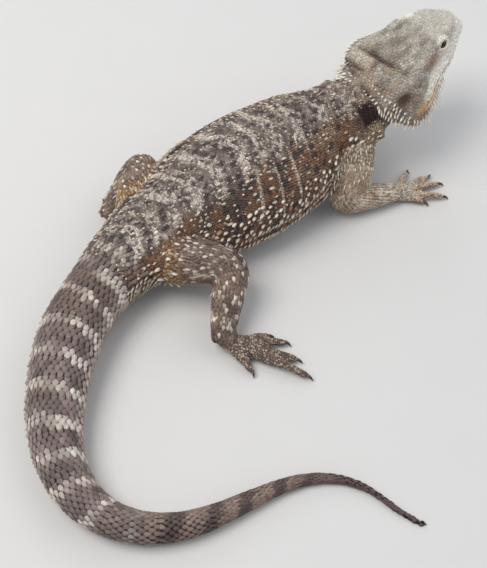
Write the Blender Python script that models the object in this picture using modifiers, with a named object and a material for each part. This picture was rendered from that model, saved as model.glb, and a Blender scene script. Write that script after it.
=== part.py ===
"""Bearded dragon, life size: a still model lying low with its head raised and its tail swept round to its right.

Metres, +Z up, +X towards the head, +Y to the animal's left, floor at Z = 0. The body is modelled whole from lofts and
tubes, fused, and parted with thin cuts. Lengths below are in millimetres and are scaled by MM where they are used.
"""

import math

import bmesh
import bpy
import numpy as np
from mathutils import Matrix, Vector

MM = 0.001
GAP = 0.3  # width of every cut between neighbouring pieces
VOXEL = 0.6  # size of the cells in which the whole body is fused
SMOOTHING = 5
BODY_TRIANGLES = 3500
FLAT_ANGLE = 2.0  # degrees: neighbouring faces of a piece closer than this are made one

# Trunk and neck, front to back: x, y, z of the core, half width, half height.
TRUNK = (
    (113, -2.2, 50.5, 9.0, 8.0),  # inside the skull
    (104, -4.0, 45.5, 15.0, 12.5),  # nape
    (96, -5.2, 40.5, 16.8, 15.0),  # neck
    (86, -4.6, 34.0, 18.0, 17.2),  # shoulders
    (72, -2.2, 28.0, 22.2, 19.8),  # breast
    (55, 0.0, 24.0, 28.6, 21.4),  # ribs
    (30, 0.7, 21.6, 31.8, 22.4),  # widest
    (8, 0.4, 20.0, 30.4, 20.8),  # belly
    (-9, -0.4, 18.2, 26.0, 19.0),  # loin
    (-25, -1.8, 16.6, 21.4, 17.3),  # hips
    (-43, -5.4, 15.0, 17.3, 15.5),  # vent
)
TRUNK_STEPS = 6  # between two rows
TRUNK_SQUARENESS = 2.3  # exponent of a section's superellipse; 2 is an ellipse, as the tail's sections are

# Tail: direction in degrees from +X, and radius, at these distances behind the tail's root.
TAIL_ROOT = (-59.7, -11.6)
TAIL_HEADING = (
    (0, 203), (30, 224), (60, 238), (85, 259), (108, 291), (135, 328), (165, 353), (190, 344), (210, 318), (230, 285),
    (250, 306),
)
TAIL_RADIUS = ((0, 14.2), (30, 13.2), (60, 11.2), (85, 9.4), (108, 7.8), (135, 6.2), (165, 4.6), (190, 3.0), (250, 0.7))
TAIL_LENGTH = 250.0
TAIL_STEPS = 110
TAIL_REST = 0.95  # height of the tail's core over the floor, as a share of its radius
TAIL_BLEND = {"reach": 6, "steps": 8}  # rows looked at on either side, and steps, where the trunk runs into the tail

RING = 40  # points round a section
DISC_SEGMENTS = 24
BALL_SEGMENTS = 12
# Ridge along each side: degrees above the side, spread in degrees, height, and where it fades out at either end.
FRINGE = {"angle": -16.0, "spread": 7.0, "height": 2.4, "front": 60.0, "back": -14.0, "fade": 2.25}

# Head, in its own frame: X forward from the back of the skull, Z up.
HEAD_AT = (98.5, -4.4, 43.6)
HEAD_PITCH = 14.0
HEAD_YAW = 5.0
HEAD_X = (-6, 0, 8, 16, 24, 32, 38, 44, 49, 53, 55)
HEAD_HALF_WIDTH = (16.5, 21.0, 22.0, 19.8, 16.6, 14.4, 13.2, 11.4, 9.2, 6.8, 4.0)
HEAD_TOP = (9, 11.6, 13.0, 13.8, 14.2, 14.0, 13.0, 11.0, 8.0, 5.4, 2.6)
HEAD_BOTTOM = (14, 17.5, 19.6, 19.8, 17.6, 14.2, 11.6, 9.4, 7.4, 5.8, 3.6)
HEAD_STEPS = 48
HEAD_CROWDING = 1.35  # over 1 sets the sections closer together towards the snout
HEAD_SQUARENESS = {"above": 2.7, "below": 2.25}
# Swellings (+) and hollows (-) of the head: x, angle from the crown, length, spread in degrees, height.
HEAD_FORMS = {
    "brow": (33, 50, 8.0, 11, 1.7),
    "eye_hollow": (34.5, 72, 4.6, 13, -2.0),
    "lore": (46, 72, 4.0, 14, -0.7),
    "temple": (14, 66, 9.0, 22, 0.8),
    "crown_furrow": (36, 0, 9.0, 16, -1.3),
    "lip": (34, 98, 16.0, 8, 0.6),
    "beard": (16, 122, 15.0, 14, 6.6),
    "jaw_angle": (1, 108, 7.5, 14, 3.6),
    "ear_hollow": (2, 76, 4.0, 11, -1.2),
    "nape_spines": (1, 45, 5.0, 22, 1.0),
}
# Line between the jaws: x and z where it leaves the snout and the cheek, and width of the cut across the head.
MOUTH = {"tip": (66.0, -0.6), "hinge": (-4.0, -4.84), "width": 60.0}

EYE = {"at": (34.5, 8.6, 6.0), "radius": 4.6}
EAR = {"at": (1.8, 19.6, 4.6), "radius": 2.7, "thickness": 0.8, "depth": 1.6, "turn": 22.0, "lift": 20.0, "pit": 7.2}

# Limbs: x, y, z, radius from inside the trunk out to the wrist or ankle.
LIMBS = {
    "arm_right": ((86, -11, 31, 10), (80, -18, 27, 9.2), (72, -25, 18.5, 8.2), (64, -29.5, 10.5, 7.0),
                  (69, -32, 8.0, 6.8), (79, -35.4, 7.0, 6.2), (89, -38.2, 5.6, 4.9)),
    "arm_left": ((84, 6, 31, 10), (79, 14, 27, 9.0), (70, 22, 18.5, 8.0), (61, 27, 10.0, 6.8),
                 (66, 28.5, 8.0, 6.6), (75.5, 29.7, 7.0, 6.1), (85, 30.5, 5.6, 4.9)),
    "leg_right": ((-30, -10, 18, 12), (-25, -22, 19.5, 10.8), (-15, -30.5, 20, 9.6), (-7.5, -38.5, 18.5, 8.2),
                  (-13, -45.5, 14.6, 7.7), (-21, -53.5, 10.4, 6.5), (-28.3, -62, 6.8, 5.0)),
    "leg_left": ((-28, 4, 18, 12), (-22, 16, 20.0, 10.8), (-15, 25, 21, 9.4), (-9.5, 32.5, 20.5, 8.0),
                 (-16, 32.5, 17.6, 7.2), (-26, 29, 13.0, 5.9), (-35, 26, 7.8, 4.7)),
}
LIMB_STEPS = 6  # between two stations
LIMB_SIDES = 6  # bevel resolution

# Digits fan out from the wrist or ankle: angle from +X, reach from the wrist, radius at the knuckle.
DIGITS = {
    "hand_right": ((28, 16.5, 2.1), (1, 21.5, 2.2), (-17, 23.5, 2.3), (-36, 23.5, 2.2), (-50, 14.0, 2.1)),
    "hand_left": ((-40, 16.5, 2.1), (-16, 21.5, 2.2), (2, 23.5, 2.3), (21, 23.0, 2.2), (40, 14.0, 2.1)),
    "foot_right": ((-20, 20, 2.4), (-31.5, 26.5, 2.5), (-46, 32, 2.7), (-56.5, 38.5, 2.7), (-80, 16, 2.4)),
    "foot_left": ((15, 20, 2.4), (24, 26, 2.5), (34, 31, 2.7), (44, 36, 2.7), (66, 14, 2.4)),
}
WRISTS = {"hand_right": "arm_right", "hand_left": "arm_left", "foot_right": "leg_right", "foot_left": "leg_left"}
DIGIT_SLOPE = -0.25  # of the back of the hand or foot
DIGIT_ROOT = 3.4  # radius at the wrist
# Along a digit: share of its reach, height, radius as a share of the knuckle's.
DIGIT_SHAPE = ((0.34, 3.8, 1.18), (0.68, 2.4, 1.0))
DIGIT_TIP = {"radius": 1.75, "height": 1.6}
DIGIT_STEPS = 4
DIGIT_SIDES = 4
DIGIT_PLUG = {"radius": 3.2, "length": 3.0}  # what is cut off a digit's round end, so that its claw meets a flat
CLAW = {"length": 4.6, "radius": 1.15, "tip": 0.28, "turn": 62.0, "steps": 4, "rise": 0.35, "clearance": 0.05}
CLAW_SIDES = 1

# Cuts across a bend halve its angle: shift of the disc into the bend, long radius that way, short radius across.
BEND_CUTS = {
    "arm": (4.0, 13.0, 9.5),
    "leg_right": (4.0, 14.0, 10.5),
    "leg_left": (9.0, 19.0, 10.5),
    "hand": (0.0, 8.5, 8.5),
    "foot_right": (2.0, 11.0, 8.5),
    "foot_left": (6.0, 14.0, 9.0),
}
BEND_STATION = 3  # the elbow's or knee's place in LIMBS
# Distance behind the tail's root, and disc radius.
TAIL_CUTS = ((-6.6, 20.0), (34.0, 18.0), (78.0, 14.0), (118.0, 12.0), (160.0, 9.0), (204.0, 7.0))
TRUNK_CUTS = ((89.0, 31.0, 32.0), (42.0, 0.0, 40.0), (9.0, 0.0, 38.0))  # x, lean in degrees, disc radius
HEAD_CUT = {"x": -1.5, "radius": 32.0}  # in the head's frame
# Where each limb leaves the trunk: x range, angle range from the side (+ up), of the curved cut.
ROOTS = {"arm": (42.0, 96.0, -81.0, 63.0), "leg": (-52.0, 10.0, -63.0, 81.0)}
ROOT_CLEARANCE = 0.9  # of that cut outside the trunk
ROOT_STEP = {"rings": 2, "degrees": 9}

COLOURS = {
    "hide": (0.33, 0.27, 0.22, 1.0),
    "claw": (0.03, 0.025, 0.02, 1.0),
    "eye": (0.30, 0.14, 0.05, 1.0),
    "ear": (0.20, 0.15, 0.12, 1.0),
}
FINISH = {"hide": 0.75, "claw": 0.35, "eye": 0.08, "ear": 0.6}
SHARP_ANGLE = 35.0


def profile(xs, ys, at):
    """A smooth curve through (xs, ys), read at the places in at: cubic, with a level-headed slope at each point."""
    xs, ys, at = (np.asarray(v, float) for v in (xs, ys, at))
    slope = np.gradient(ys, xs)
    i = np.clip(np.searchsorted(xs, at) - 1, 0, len(xs) - 2)
    step = xs[i + 1] - xs[i]
    t = np.clip((at - xs[i]) / step, 0, 1)
    rise = 3 * t**2 - 2 * t**3
    return (
        ys[i] * (1 - rise)
        + ys[i + 1] * rise
        + step * (slope[i] * (t**3 - 2 * t**2 + t) + slope[i + 1] * (t**3 - t**2))
    )


def through(stations, steps):
    """Rows of stations joined by a smooth curve, with this many steps between neighbours."""
    rows = np.array(stations, float)
    knots = np.arange(len(rows))
    at = np.linspace(0, len(rows) - 1, (len(rows) - 1) * steps + 1)
    return np.stack([profile(knots, rows[:, k], at) for k in range(rows.shape[1])], 1)


def mesh_object(name, bm):
    bmesh.ops.recalc_face_normals(bm, faces=bm.faces)
    mesh = bpy.data.meshes.new(name)
    bm.to_mesh(mesh)
    bm.free()
    obj = bpy.data.objects.new(name, mesh)
    bpy.context.scene.collection.objects.link(obj)
    return obj


def loft(name, rings):
    """A skin over rings of equal count, with a face over each end."""
    bm = bmesh.new()
    rows = [[bm.verts.new(Vector(p) * MM) for p in ring] for ring in rings]
    count = len(rows[0])
    for near, far in zip(rows, rows[1:]):
        for k in range(count):
            nxt = (k + 1) % count
            bm.faces.new((near[k], near[nxt], far[nxt], far[k]))
    bm.faces.new(rows[0])
    bm.faces.new(rows[-1])
    return mesh_object(name, bm)


def ring_at(centre, forward, across, up):
    """Points of one section: across and up are arrays of offsets, square to forward."""
    forward = Vector(forward).normalized()
    side = Vector((0, 0, 1)).cross(forward).normalized()
    rise = forward.cross(side)
    return [Vector(centre) + side * a + rise * u for a, u in zip(across, up)]


def spine_rows():
    """The whole spine from neck to tail tip as x, y, z, half width, half height, and the row where the tail starts."""
    trunk = through(TRUNK, TRUNK_STEPS)
    s = np.linspace(0, TAIL_LENGTH, TAIL_STEPS)
    heading = np.radians(profile(*zip(*TAIL_HEADING), s))
    radius = profile(*zip(*TAIL_RADIUS), s)
    step = s[1] - s[0]
    x = TAIL_ROOT[0] + np.concatenate([[0], np.cumsum(np.cos(heading[:-1]) * step)])
    y = TAIL_ROOT[1] + np.concatenate([[0], np.cumsum(np.sin(heading[:-1]) * step)])
    tail = np.stack([x, y, radius * TAIL_REST, radius, radius], 1)
    reach, steps = TAIL_BLEND["reach"], TAIL_BLEND["steps"]
    root = through([trunk[-1 - reach], trunk[-1], tail[0], tail[reach]], steps)[steps + 1 : 2 * steps]
    return np.concatenate([trunk, root, tail]), len(trunk) + len(root)


def row_behind(distance):
    """The spine's row at this distance behind the tail's root."""
    rows, first = spine_rows()
    along = np.concatenate([[0], np.cumsum(np.linalg.norm(np.diff(rows[:, :3], axis=0), axis=1))])
    return int(np.argmin(np.abs(along - along[first] - distance)))


def spine_rings(extra=0.0):
    """Sections of the spine. Extra swells them all, for the curved cuts at the roots of the limbs."""
    rows, _ = spine_rows()
    forward = -np.gradient(rows[:, :3], axis=0)
    angle = np.linspace(0, 2 * math.pi, RING, endpoint=False)
    rings = []
    for row, ahead in zip(rows, forward):
        x, _, _, half_width, half_height = row
        boxy = 2 / (TRUNK_SQUARENESS if half_width > half_height else 2)
        across = (half_width + extra) * np.sign(np.cos(angle)) * np.abs(np.cos(angle)) ** boxy
        up = (half_height + extra) * np.sign(np.sin(angle)) * np.abs(np.sin(angle)) ** boxy
        window = 1 / (1 + math.exp((x - FRINGE["front"]) / FRINGE["fade"]))
        window /= 1 + math.exp((FRINGE["back"] - x) / FRINGE["fade"])
        for side in (0, 180):
            centre = FRINGE["angle"] if side == 0 else 180 - FRINGE["angle"]
            off = (np.degrees(angle) - centre + 180) % 360 - 180
            ridge = FRINGE["height"] * window * np.exp(-((off / FRINGE["spread"]) ** 2))
            across += ridge * (1 if side == 0 else -1)
        rings.append(ring_at(row[:3], ahead, across, up))
    return rings


def head_matrix():
    turn = Matrix.Rotation(math.radians(HEAD_YAW), 4, "Z") @ Matrix.Rotation(-math.radians(HEAD_PITCH), 4, "Y")
    return Matrix.Translation(Vector(HEAD_AT)) @ turn


def head_rings():
    """Sections of the head: superellipses whose crown is flatter than the throat, with HEAD_FORMS added."""
    along = np.linspace(0, 1, HEAD_STEPS)
    xs = HEAD_X[0] + (HEAD_X[-1] - HEAD_X[0]) * (1 - (1 - along) ** HEAD_CROWDING)
    half_width, top, bottom = (profile(HEAD_X, v, xs) for v in (HEAD_HALF_WIDTH, HEAD_TOP, HEAD_BOTTOM))
    turn = np.linspace(0, 2 * math.pi, RING, endpoint=False)  # from the crown
    from_crown = np.degrees(np.minimum(turn, 2 * math.pi - turn))
    place = head_matrix()
    rings = []
    for x, w, t, b in zip(xs, half_width, top, bottom):
        sine, cosine = np.sin(turn), np.cos(turn)
        boxy = 2 / np.where(cosine > 0, HEAD_SQUARENESS["above"], HEAD_SQUARENESS["below"])
        across = w * np.sign(sine) * np.abs(sine) ** boxy
        up = np.where(cosine > 0, t, b) * np.sign(cosine) * np.abs(cosine) ** boxy
        for at_x, at_angle, length, spread, height in HEAD_FORMS.values():
            form = height * math.exp(-(((x - at_x) / length) ** 2)) * np.exp(-(((from_crown - at_angle) / spread) ** 2))
            across += form * sine
            up += form * cosine
        rings.append([place @ Vector((x, a, u)) for a, u in zip(across, up)])
    return rings


def tube(name, rows, sides):
    """A round tube through rows of x, y, z, radius, made as a bevelled curve and turned into a closed mesh."""
    curve = bpy.data.curves.new(name, "CURVE")
    curve.dimensions = "3D"
    curve.bevel_depth = MM
    curve.bevel_resolution = sides
    curve.use_fill_caps = True
    spline = curve.splines.new("POLY")
    spline.points.add(len(rows) - 1)
    for point, (x, y, z, radius) in zip(spline.points, rows):
        point.co = (x * MM, y * MM, z * MM, 1)
        point.radius = radius
    maker = bpy.data.objects.new(name + "_curve", curve)
    bpy.context.scene.collection.objects.link(maker)
    bpy.context.view_layer.update()
    mesh = bpy.data.meshes.new_from_object(maker.evaluated_get(bpy.context.evaluated_depsgraph_get()))
    bpy.data.objects.remove(maker)
    bm = bmesh.new()
    bm.from_mesh(mesh)
    bpy.data.meshes.remove(mesh)
    bmesh.ops.remove_doubles(bm, verts=bm.verts, dist=1e-6)
    return mesh_object(name, bm)


def digit_paths():
    """For each hand or foot, each digit's path from the wrist to the tip."""
    paths = {}
    for foot, digits in DIGITS.items():
        wrist = np.array(LIMBS[WRISTS[foot]][-1], float)
        for n, (angle, reach, radius) in enumerate(digits, 1):
            way = np.array([math.cos(math.radians(angle)), math.sin(math.radians(angle))])
            stations = [(*wrist[:3], DIGIT_ROOT)]
            stations += [(*(wrist[:2] + way * reach * share), z, radius * fat) for share, z, fat in DIGIT_SHAPE]
            stations.append((*(wrist[:2] + way * reach), DIGIT_TIP["height"], DIGIT_TIP["radius"]))
            paths[f"{foot}_{n}"] = (through(stations, DIGIT_STEPS), way)
    return paths


def joined(name, objects):
    bm = bmesh.new()
    for obj in objects:
        bm.from_mesh(obj.data)
        bpy.data.objects.remove(obj)
    mesh = bpy.data.meshes.new(name)
    bm.to_mesh(mesh)
    bm.free()
    obj = bpy.data.objects.new(name, mesh)
    bpy.context.scene.collection.objects.link(obj)
    return obj


def baked(obj):
    """The object with its modifiers applied to its mesh."""
    bpy.context.view_layer.update()
    mesh = bpy.data.meshes.new_from_object(obj.evaluated_get(bpy.context.evaluated_depsgraph_get()))
    old = obj.data
    obj.modifiers.clear()
    obj.data = mesh
    bpy.data.meshes.remove(old)
    return obj


def whole_body():
    """Spine, head, limbs and digits fused into one closed skin, then thinned to BODY_TRIANGLES."""
    raw = [loft("spine", spine_rings()), loft("skull", head_rings())]
    raw += [tube(name, through(rows, LIMB_STEPS), LIMB_SIDES) for name, rows in LIMBS.items()]
    raw += [tube(name, rows, DIGIT_SIDES) for name, (rows, _) in digit_paths().items()]
    body = joined("body", raw)
    remesh = body.modifiers.new("fuse", "REMESH")
    remesh.mode = "VOXEL"
    remesh.voxel_size = VOXEL * MM
    smooth = body.modifiers.new("smooth", "SMOOTH")
    smooth.factor = 0.5
    smooth.iterations = SMOOTHING
    baked(body)
    thin = body.modifiers.new("thin", "DECIMATE")
    body.data.calc_loop_triangles()
    thin.ratio = BODY_TRIANGLES / len(body.data.loop_triangles)
    return flatten_underside(baked(body))


def flatten_underside(body):
    """Cuts away what is below the floor and closes the flats that are left."""
    bm = bmesh.new()
    bm.from_mesh(body.data)
    everything = bm.verts[:] + bm.edges[:] + bm.faces[:]
    cut = bmesh.ops.bisect_plane(bm, geom=everything, plane_co=(0, 0, 0), plane_no=(0, 0, -1), clear_outer=True)
    edges = [e for e in cut["geom_cut"] if isinstance(e, bmesh.types.BMEdge)]
    bmesh.ops.holes_fill(bm, edges=edges, sides=0)
    bmesh.ops.triangulate(bm, faces=[f for f in bm.faces if len(f.verts) > 4])
    bm.to_mesh(body.data)
    bm.free()
    return body


def disc(name, centre, normal, radius, thickness=GAP):
    """A disc round centre, square to normal."""
    bm = bmesh.new()
    radius, thickness = radius * MM, thickness * MM
    bmesh.ops.create_cone(
        bm, cap_ends=True, segments=DISC_SEGMENTS, radius1=radius, radius2=radius, depth=thickness
    )
    turn = Vector(normal).to_track_quat("Z", "Y").to_matrix().to_4x4()
    bmesh.ops.transform(bm, matrix=Matrix.Translation(Vector(centre) * MM) @ turn, verts=bm.verts)
    return mesh_object(name, bm)


def bend_cutter(name, joint, back, ahead, size):
    """An oval cutting disc that halves the angle between back and ahead, the two ways out of a joint."""
    shift, long_radius, short_radius = size
    back, ahead = Vector(back).normalized(), Vector(ahead).normalized()
    inward = (back + ahead).normalized()
    normal = (ahead - back).normalized()
    bm = bmesh.new()
    bmesh.ops.create_cone(bm, cap_ends=True, segments=DISC_SEGMENTS, radius1=MM, radius2=MM, depth=GAP * MM)
    bmesh.ops.scale(bm, vec=(long_radius, short_radius, 1), verts=bm.verts)
    turn = Matrix((inward, normal.cross(inward), normal)).transposed().to_4x4()
    place = Matrix.Translation((Vector(joint) + inward * shift) * MM)
    bmesh.ops.transform(bm, matrix=place @ turn, verts=bm.verts)
    return mesh_object(name, bm)


def root_cutter(limb):
    """A curved sheet one GAP thick that lies just outside the trunk where a limb leaves it."""
    rows, first = spine_rows()
    kind, side = limb.split("_")
    back, front, low, high = ROOTS[kind]
    angles = np.arange(low, high + 1, ROOT_STEP["degrees"])
    picks = [round(a * RING / 360) % RING for a in (angles if side == "left" else 180 - angles)]
    chosen = [ring for ring, row in zip(spine_rings(ROOT_CLEARANCE), rows[:first]) if back <= row[0] <= front]
    chosen = chosen[:: ROOT_STEP["rings"]]
    bm = bmesh.new()
    grid = [[bm.verts.new(ring[k] * MM) for k in picks] for ring in chosen]
    for near, far in zip(grid, grid[1:]):
        for a, b, c, d in zip(near, near[1:], far[1:], far):
            bm.faces.new((a, b, c, d))
    sheet = mesh_object("cut_" + limb, bm)
    thick = sheet.modifiers.new("thick", "SOLIDIFY")
    thick.thickness = GAP * MM
    thick.offset = 0
    return baked(sheet)


def cutters():
    made = []
    for limb, rows in LIMBS.items():
        made.append(root_cutter(limb))
        joint = Vector(rows[BEND_STATION][:3])
        size = BEND_CUTS[limb if limb in BEND_CUTS else limb.split("_")[0]]
        back, ahead = Vector(rows[BEND_STATION - 1][:3]) - joint, Vector(rows[BEND_STATION + 2][:3]) - joint
        made.append(bend_cutter("cut_" + limb, joint, back, ahead, size))
    for foot, limb in WRISTS.items():
        wrist, before = Vector(LIMBS[limb][-1][:3]), Vector(LIMBS[limb][-2][:3])
        angle = math.radians(np.mean([DIGITS[foot][1][0], DIGITS[foot][3][0]]))
        size = BEND_CUTS[foot if foot in BEND_CUTS else foot.split("_")[0]]
        ahead = (math.cos(angle), math.sin(angle), DIGIT_SLOPE)
        made.append(bend_cutter("cut_" + foot, wrist, before - wrist, ahead, size))
    rows, first = spine_rows()
    for n, (place, radius) in enumerate(TAIL_CUTS):
        i = row_behind(place)
        made.append(disc(f"cut_tail_{n}", rows[i, :3], rows[i + 1, :3] - rows[i, :3], radius))
    for n, (x, lean, radius) in enumerate(TRUNK_CUTS):
        i = int(np.argmin(np.abs(rows[:first, 0] - x)))
        normal = (math.cos(math.radians(lean)), 0, math.sin(math.radians(lean)))
        made.append(disc(f"cut_trunk_{n}", rows[i, :3], normal, radius))
    place = head_matrix()
    forward = place.to_3x3() @ Vector((1, 0, 0))
    made.append(disc("cut_head", place @ Vector((HEAD_CUT["x"], 0, 0)), forward, HEAD_CUT["radius"]))
    return made


def cut_away(obj, tools):
    """Subtracts each tool in turn, and removes it."""
    for tool in tools:
        cut = obj.modifiers.new("cut", "BOOLEAN")
        cut.operation = "DIFFERENCE"
        cut.object = tool
        baked(obj)
        bpy.data.objects.remove(tool)
    return obj


def loose_parts(obj):
    """The separate shells of a mesh, each as its own object."""
    bpy.ops.object.select_all(action="DESELECT")
    bpy.context.view_layer.objects.active = obj
    obj.select_set(True)
    bpy.ops.object.mode_set(mode="EDIT")
    bpy.ops.mesh.select_all(action="SELECT")
    bpy.ops.mesh.separate(type="LOOSE")
    bpy.ops.object.mode_set(mode="OBJECT")
    return list(bpy.context.selected_objects)


def centre_of(obj):
    points = np.array([v.co for v in obj.data.vertices])
    return (points.min(0) + points.max(0)) / 2 / MM


def piece_anchors():
    """The rough middle of each piece, by which the parted shells are named."""
    rows, first = spine_rows()
    anchors = {
        "skull": head_matrix() @ Vector((26, 0, 0)),
        "neck": (94, -4, 43),
        "chest": (65, 0, 26),
        "belly": (26, 1, 21),
        "pelvis": (-18, 0, 17),
    }
    edges = [place for place, _ in TAIL_CUTS] + [TAIL_LENGTH]
    for n, (near, far) in enumerate(zip(edges, edges[1:]), 1):
        piece = rows[row_behind(near) : row_behind(far) + 1, :3]
        anchors[f"tail_{n}"] = (piece.min(0) + piece.max(0)) / 2
    names = {"arm": ("upper_arm", "forearm"), "leg": ("thigh", "shin")}
    for limb, stations in LIMBS.items():
        kind, side = limb.split("_")
        joints = np.array(stations)[:, :3]
        anchors[f"{names[kind][0]}_{side}"] = joints[BEND_STATION - 1]
        anchors[f"{names[kind][1]}_{side}"] = (joints[BEND_STATION + 1] + joints[BEND_STATION + 2]) / 2
    for foot, limb in WRISTS.items():
        ends = [rows_[-1, :3] for name, (rows_, _) in digit_paths().items() if name.startswith(foot)]
        ends.append(np.array(LIMBS[limb][-1][:3], float))
        anchors[foot] = (np.min(ends, 0) + np.max(ends, 0)) / 2
    return {name: np.array(point, float) for name, point in anchors.items()}


def name_parts(parts):
    anchors = piece_anchors()
    if len(parts) != len(anchors):
        for p in parts:
            print("part", np.round(centre_of(p), 1), len(p.data.polygons))
        raise SystemExit(f"{len(parts)} parts for {len(anchors)} names")
    free = dict(anchors)
    centres = {p: centre_of(p) for p in parts}
    while free:
        name, part = min(
            ((n, p) for n in free for p in centres), key=lambda pair: np.linalg.norm(free[pair[0]] - centres[pair[1]])
        )
        part.name = part.data.name = name
        del free[name], centres[part]
    return {p.name: p for p in parts}


def claws():
    """Each claw arcs forward and down from the flat end of its digit."""
    made = []
    for name, (rows, way) in digit_paths().items():
        tip = rows[-1, :3]
        start = tip + np.array([*(way * GAP), CLAW["rise"]])
        turn = np.radians(np.linspace(0, CLAW["turn"], CLAW["steps"]))
        step = CLAW["length"] / (CLAW["steps"] - 1)
        ahead = np.concatenate([[0], np.cumsum(np.cos(turn[1:]) * step)])
        down = np.concatenate([[0], np.cumsum(np.sin(turn[1:]) * step)])
        down *= min(1.0, (start[2] - CLAW["tip"] - CLAW["clearance"]) / down[-1])
        taper = np.linspace(1, 0, CLAW["steps"]) ** 0.8
        radius = CLAW["tip"] + (CLAW["radius"] - CLAW["tip"]) * taper
        path = np.column_stack([start[0] + way[0] * ahead, start[1] + way[1] * ahead, start[2] - down, radius])
        made.append(tube("claw_" + name, path, CLAW_SIDES))
    return made


def tip_cutters(foot):
    """Short plugs that take the round end off each digit of a foot, so that its claw meets a flat."""
    made = []
    for name, (rows, way) in digit_paths().items():
        if not name.startswith(foot):
            continue
        centre = rows[-1, :3] + np.array([*(way * DIGIT_PLUG["length"] / 2), 0])
        made.append(disc("cut_" + name, centre, (*way, 0), DIGIT_PLUG["radius"], DIGIT_PLUG["length"]))
    return made


def ball(name, centre, radius):
    bm = bmesh.new()
    bmesh.ops.create_uvsphere(bm, u_segments=BALL_SEGMENTS, v_segments=BALL_SEGMENTS // 2, radius=radius * MM)
    bmesh.ops.translate(bm, vec=Vector(centre) * MM, verts=bm.verts)
    return mesh_object(name, bm)


def eyes_and_ears(skull):
    """Sockets and ear pits in the skull, with an eyeball and an eardrum in each."""
    place = head_matrix()
    turn = place.to_3x3()
    made = []
    for side, sign in (("left", 1), ("right", -1)):
        x, y, z = EYE["at"]
        centre = place @ Vector((x, y * sign, z))
        cut_away(skull, [ball("socket", centre, EYE["radius"] + GAP)])
        made.append(ball("eye_" + side, centre, EYE["radius"]))
        x, y, z = EAR["at"]
        yaw, lift = math.radians(90 + EAR["turn"]) * sign, math.radians(EAR["lift"])
        level = math.cos(lift)
        out = turn @ Vector((math.cos(yaw) * level, math.sin(yaw) * level, math.sin(lift)))
        mouth = place @ Vector((x, y * sign, z))
        floor = mouth - out * EAR["depth"]
        cut_away(skull, [disc("pit", floor + out * EAR["pit"] / 2, out, EAR["radius"] + GAP, EAR["pit"])])
        drum = floor + out * (GAP + EAR["thickness"] / 2)
        made.append(disc("ear_" + side, drum, out, EAR["radius"], EAR["thickness"]))
    return made


def part_jaw(head):
    """Parts the head along the mouth into skull and jaw."""
    tip, hinge = MOUTH["tip"], MOUTH["hinge"]
    length = tip[0] - hinge[0]
    slope = math.atan2(tip[1] - hinge[1], length)
    bm = bmesh.new()
    bmesh.ops.create_cube(bm, size=1)
    bmesh.ops.scale(bm, vec=Vector((length, MOUTH["width"], GAP)) * MM, verts=bm.verts)
    middle = Vector(((tip[0] + hinge[0]) / 2, 0, (tip[1] + hinge[1]) / 2))
    matrix = head_matrix() @ Matrix.Translation(middle) @ Matrix.Rotation(-slope, 4, "Y")
    matrix.translation *= MM
    bmesh.ops.transform(bm, matrix=matrix, verts=bm.verts)
    cut_away(head, [mesh_object("cut_mouth", bm)])
    upper, lower = sorted(loose_parts(head), key=lambda p: -centre_of(p)[2])[:2]
    upper.name = upper.data.name = "head"
    lower.name = lower.data.name = "jaw"
    return upper, lower


def painted(obj, finish):
    material = bpy.data.materials.get(finish)
    if material is None:
        material = bpy.data.materials.new(finish)
        material.use_nodes = True
        shader = material.node_tree.nodes["Principled BSDF"]
        shader.inputs["Base Color"].default_value = COLOURS[finish]
        shader.inputs["Roughness"].default_value = FINISH[finish]
    obj.data.materials.clear()
    obj.data.materials.append(material)
    obj.data.shade_smooth()
    obj.data.set_sharp_from_angle(angle=math.radians(SHARP_ANGLE))


def thinned(obj):
    """Makes one face of neighbouring faces that lie nearly flat together."""
    thin = obj.modifiers.new("flats", "DECIMATE")
    thin.decimate_type = "DISSOLVE"
    thin.angle_limit = math.radians(FLAT_ANGLE)
    return baked(obj)


def set_on_origin(pieces):
    """Moves everything so that the middle of its footprint is at X = Y = 0."""
    points = np.concatenate([[v.co[:] for v in piece.data.vertices] for piece in pieces])
    middle = (points.min(0) + points.max(0)) / 2
    for piece in pieces:
        piece.data.transform(Matrix.Translation((-middle[0], -middle[1], 0)))


def main():
    for obj in list(bpy.data.objects):
        bpy.data.objects.remove(obj)
    body = cut_away(whole_body(), cutters())
    parts = name_parts(loose_parts(body))
    skull, jaw = part_jaw(parts.pop("skull"))
    small = eyes_and_ears(skull)
    for foot in WRISTS:
        cut_away(parts[foot], tip_cutters(foot))
    nails = claws()
    pieces = [*map(thinned, (*parts.values(), skull, jaw)), *small, *nails]
    set_on_origin(pieces)
    collection = bpy.data.collections.new("bearded_dragon")
    bpy.context.scene.collection.children.link(collection)
    for piece in pieces:
        for owner in list(piece.users_collection):
            owner.objects.unlink(piece)
        collection.objects.link(piece)
        kind = piece.name.split("_")[0]
        painted(piece, kind if kind in COLOURS else "hide")


main()
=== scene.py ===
import math

import bmesh
import bpy
import numpy as np
from mathutils import Matrix, Vector
from mathutils.bvhtree import BVHTree
from mathutils.kdtree import KDTree


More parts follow.
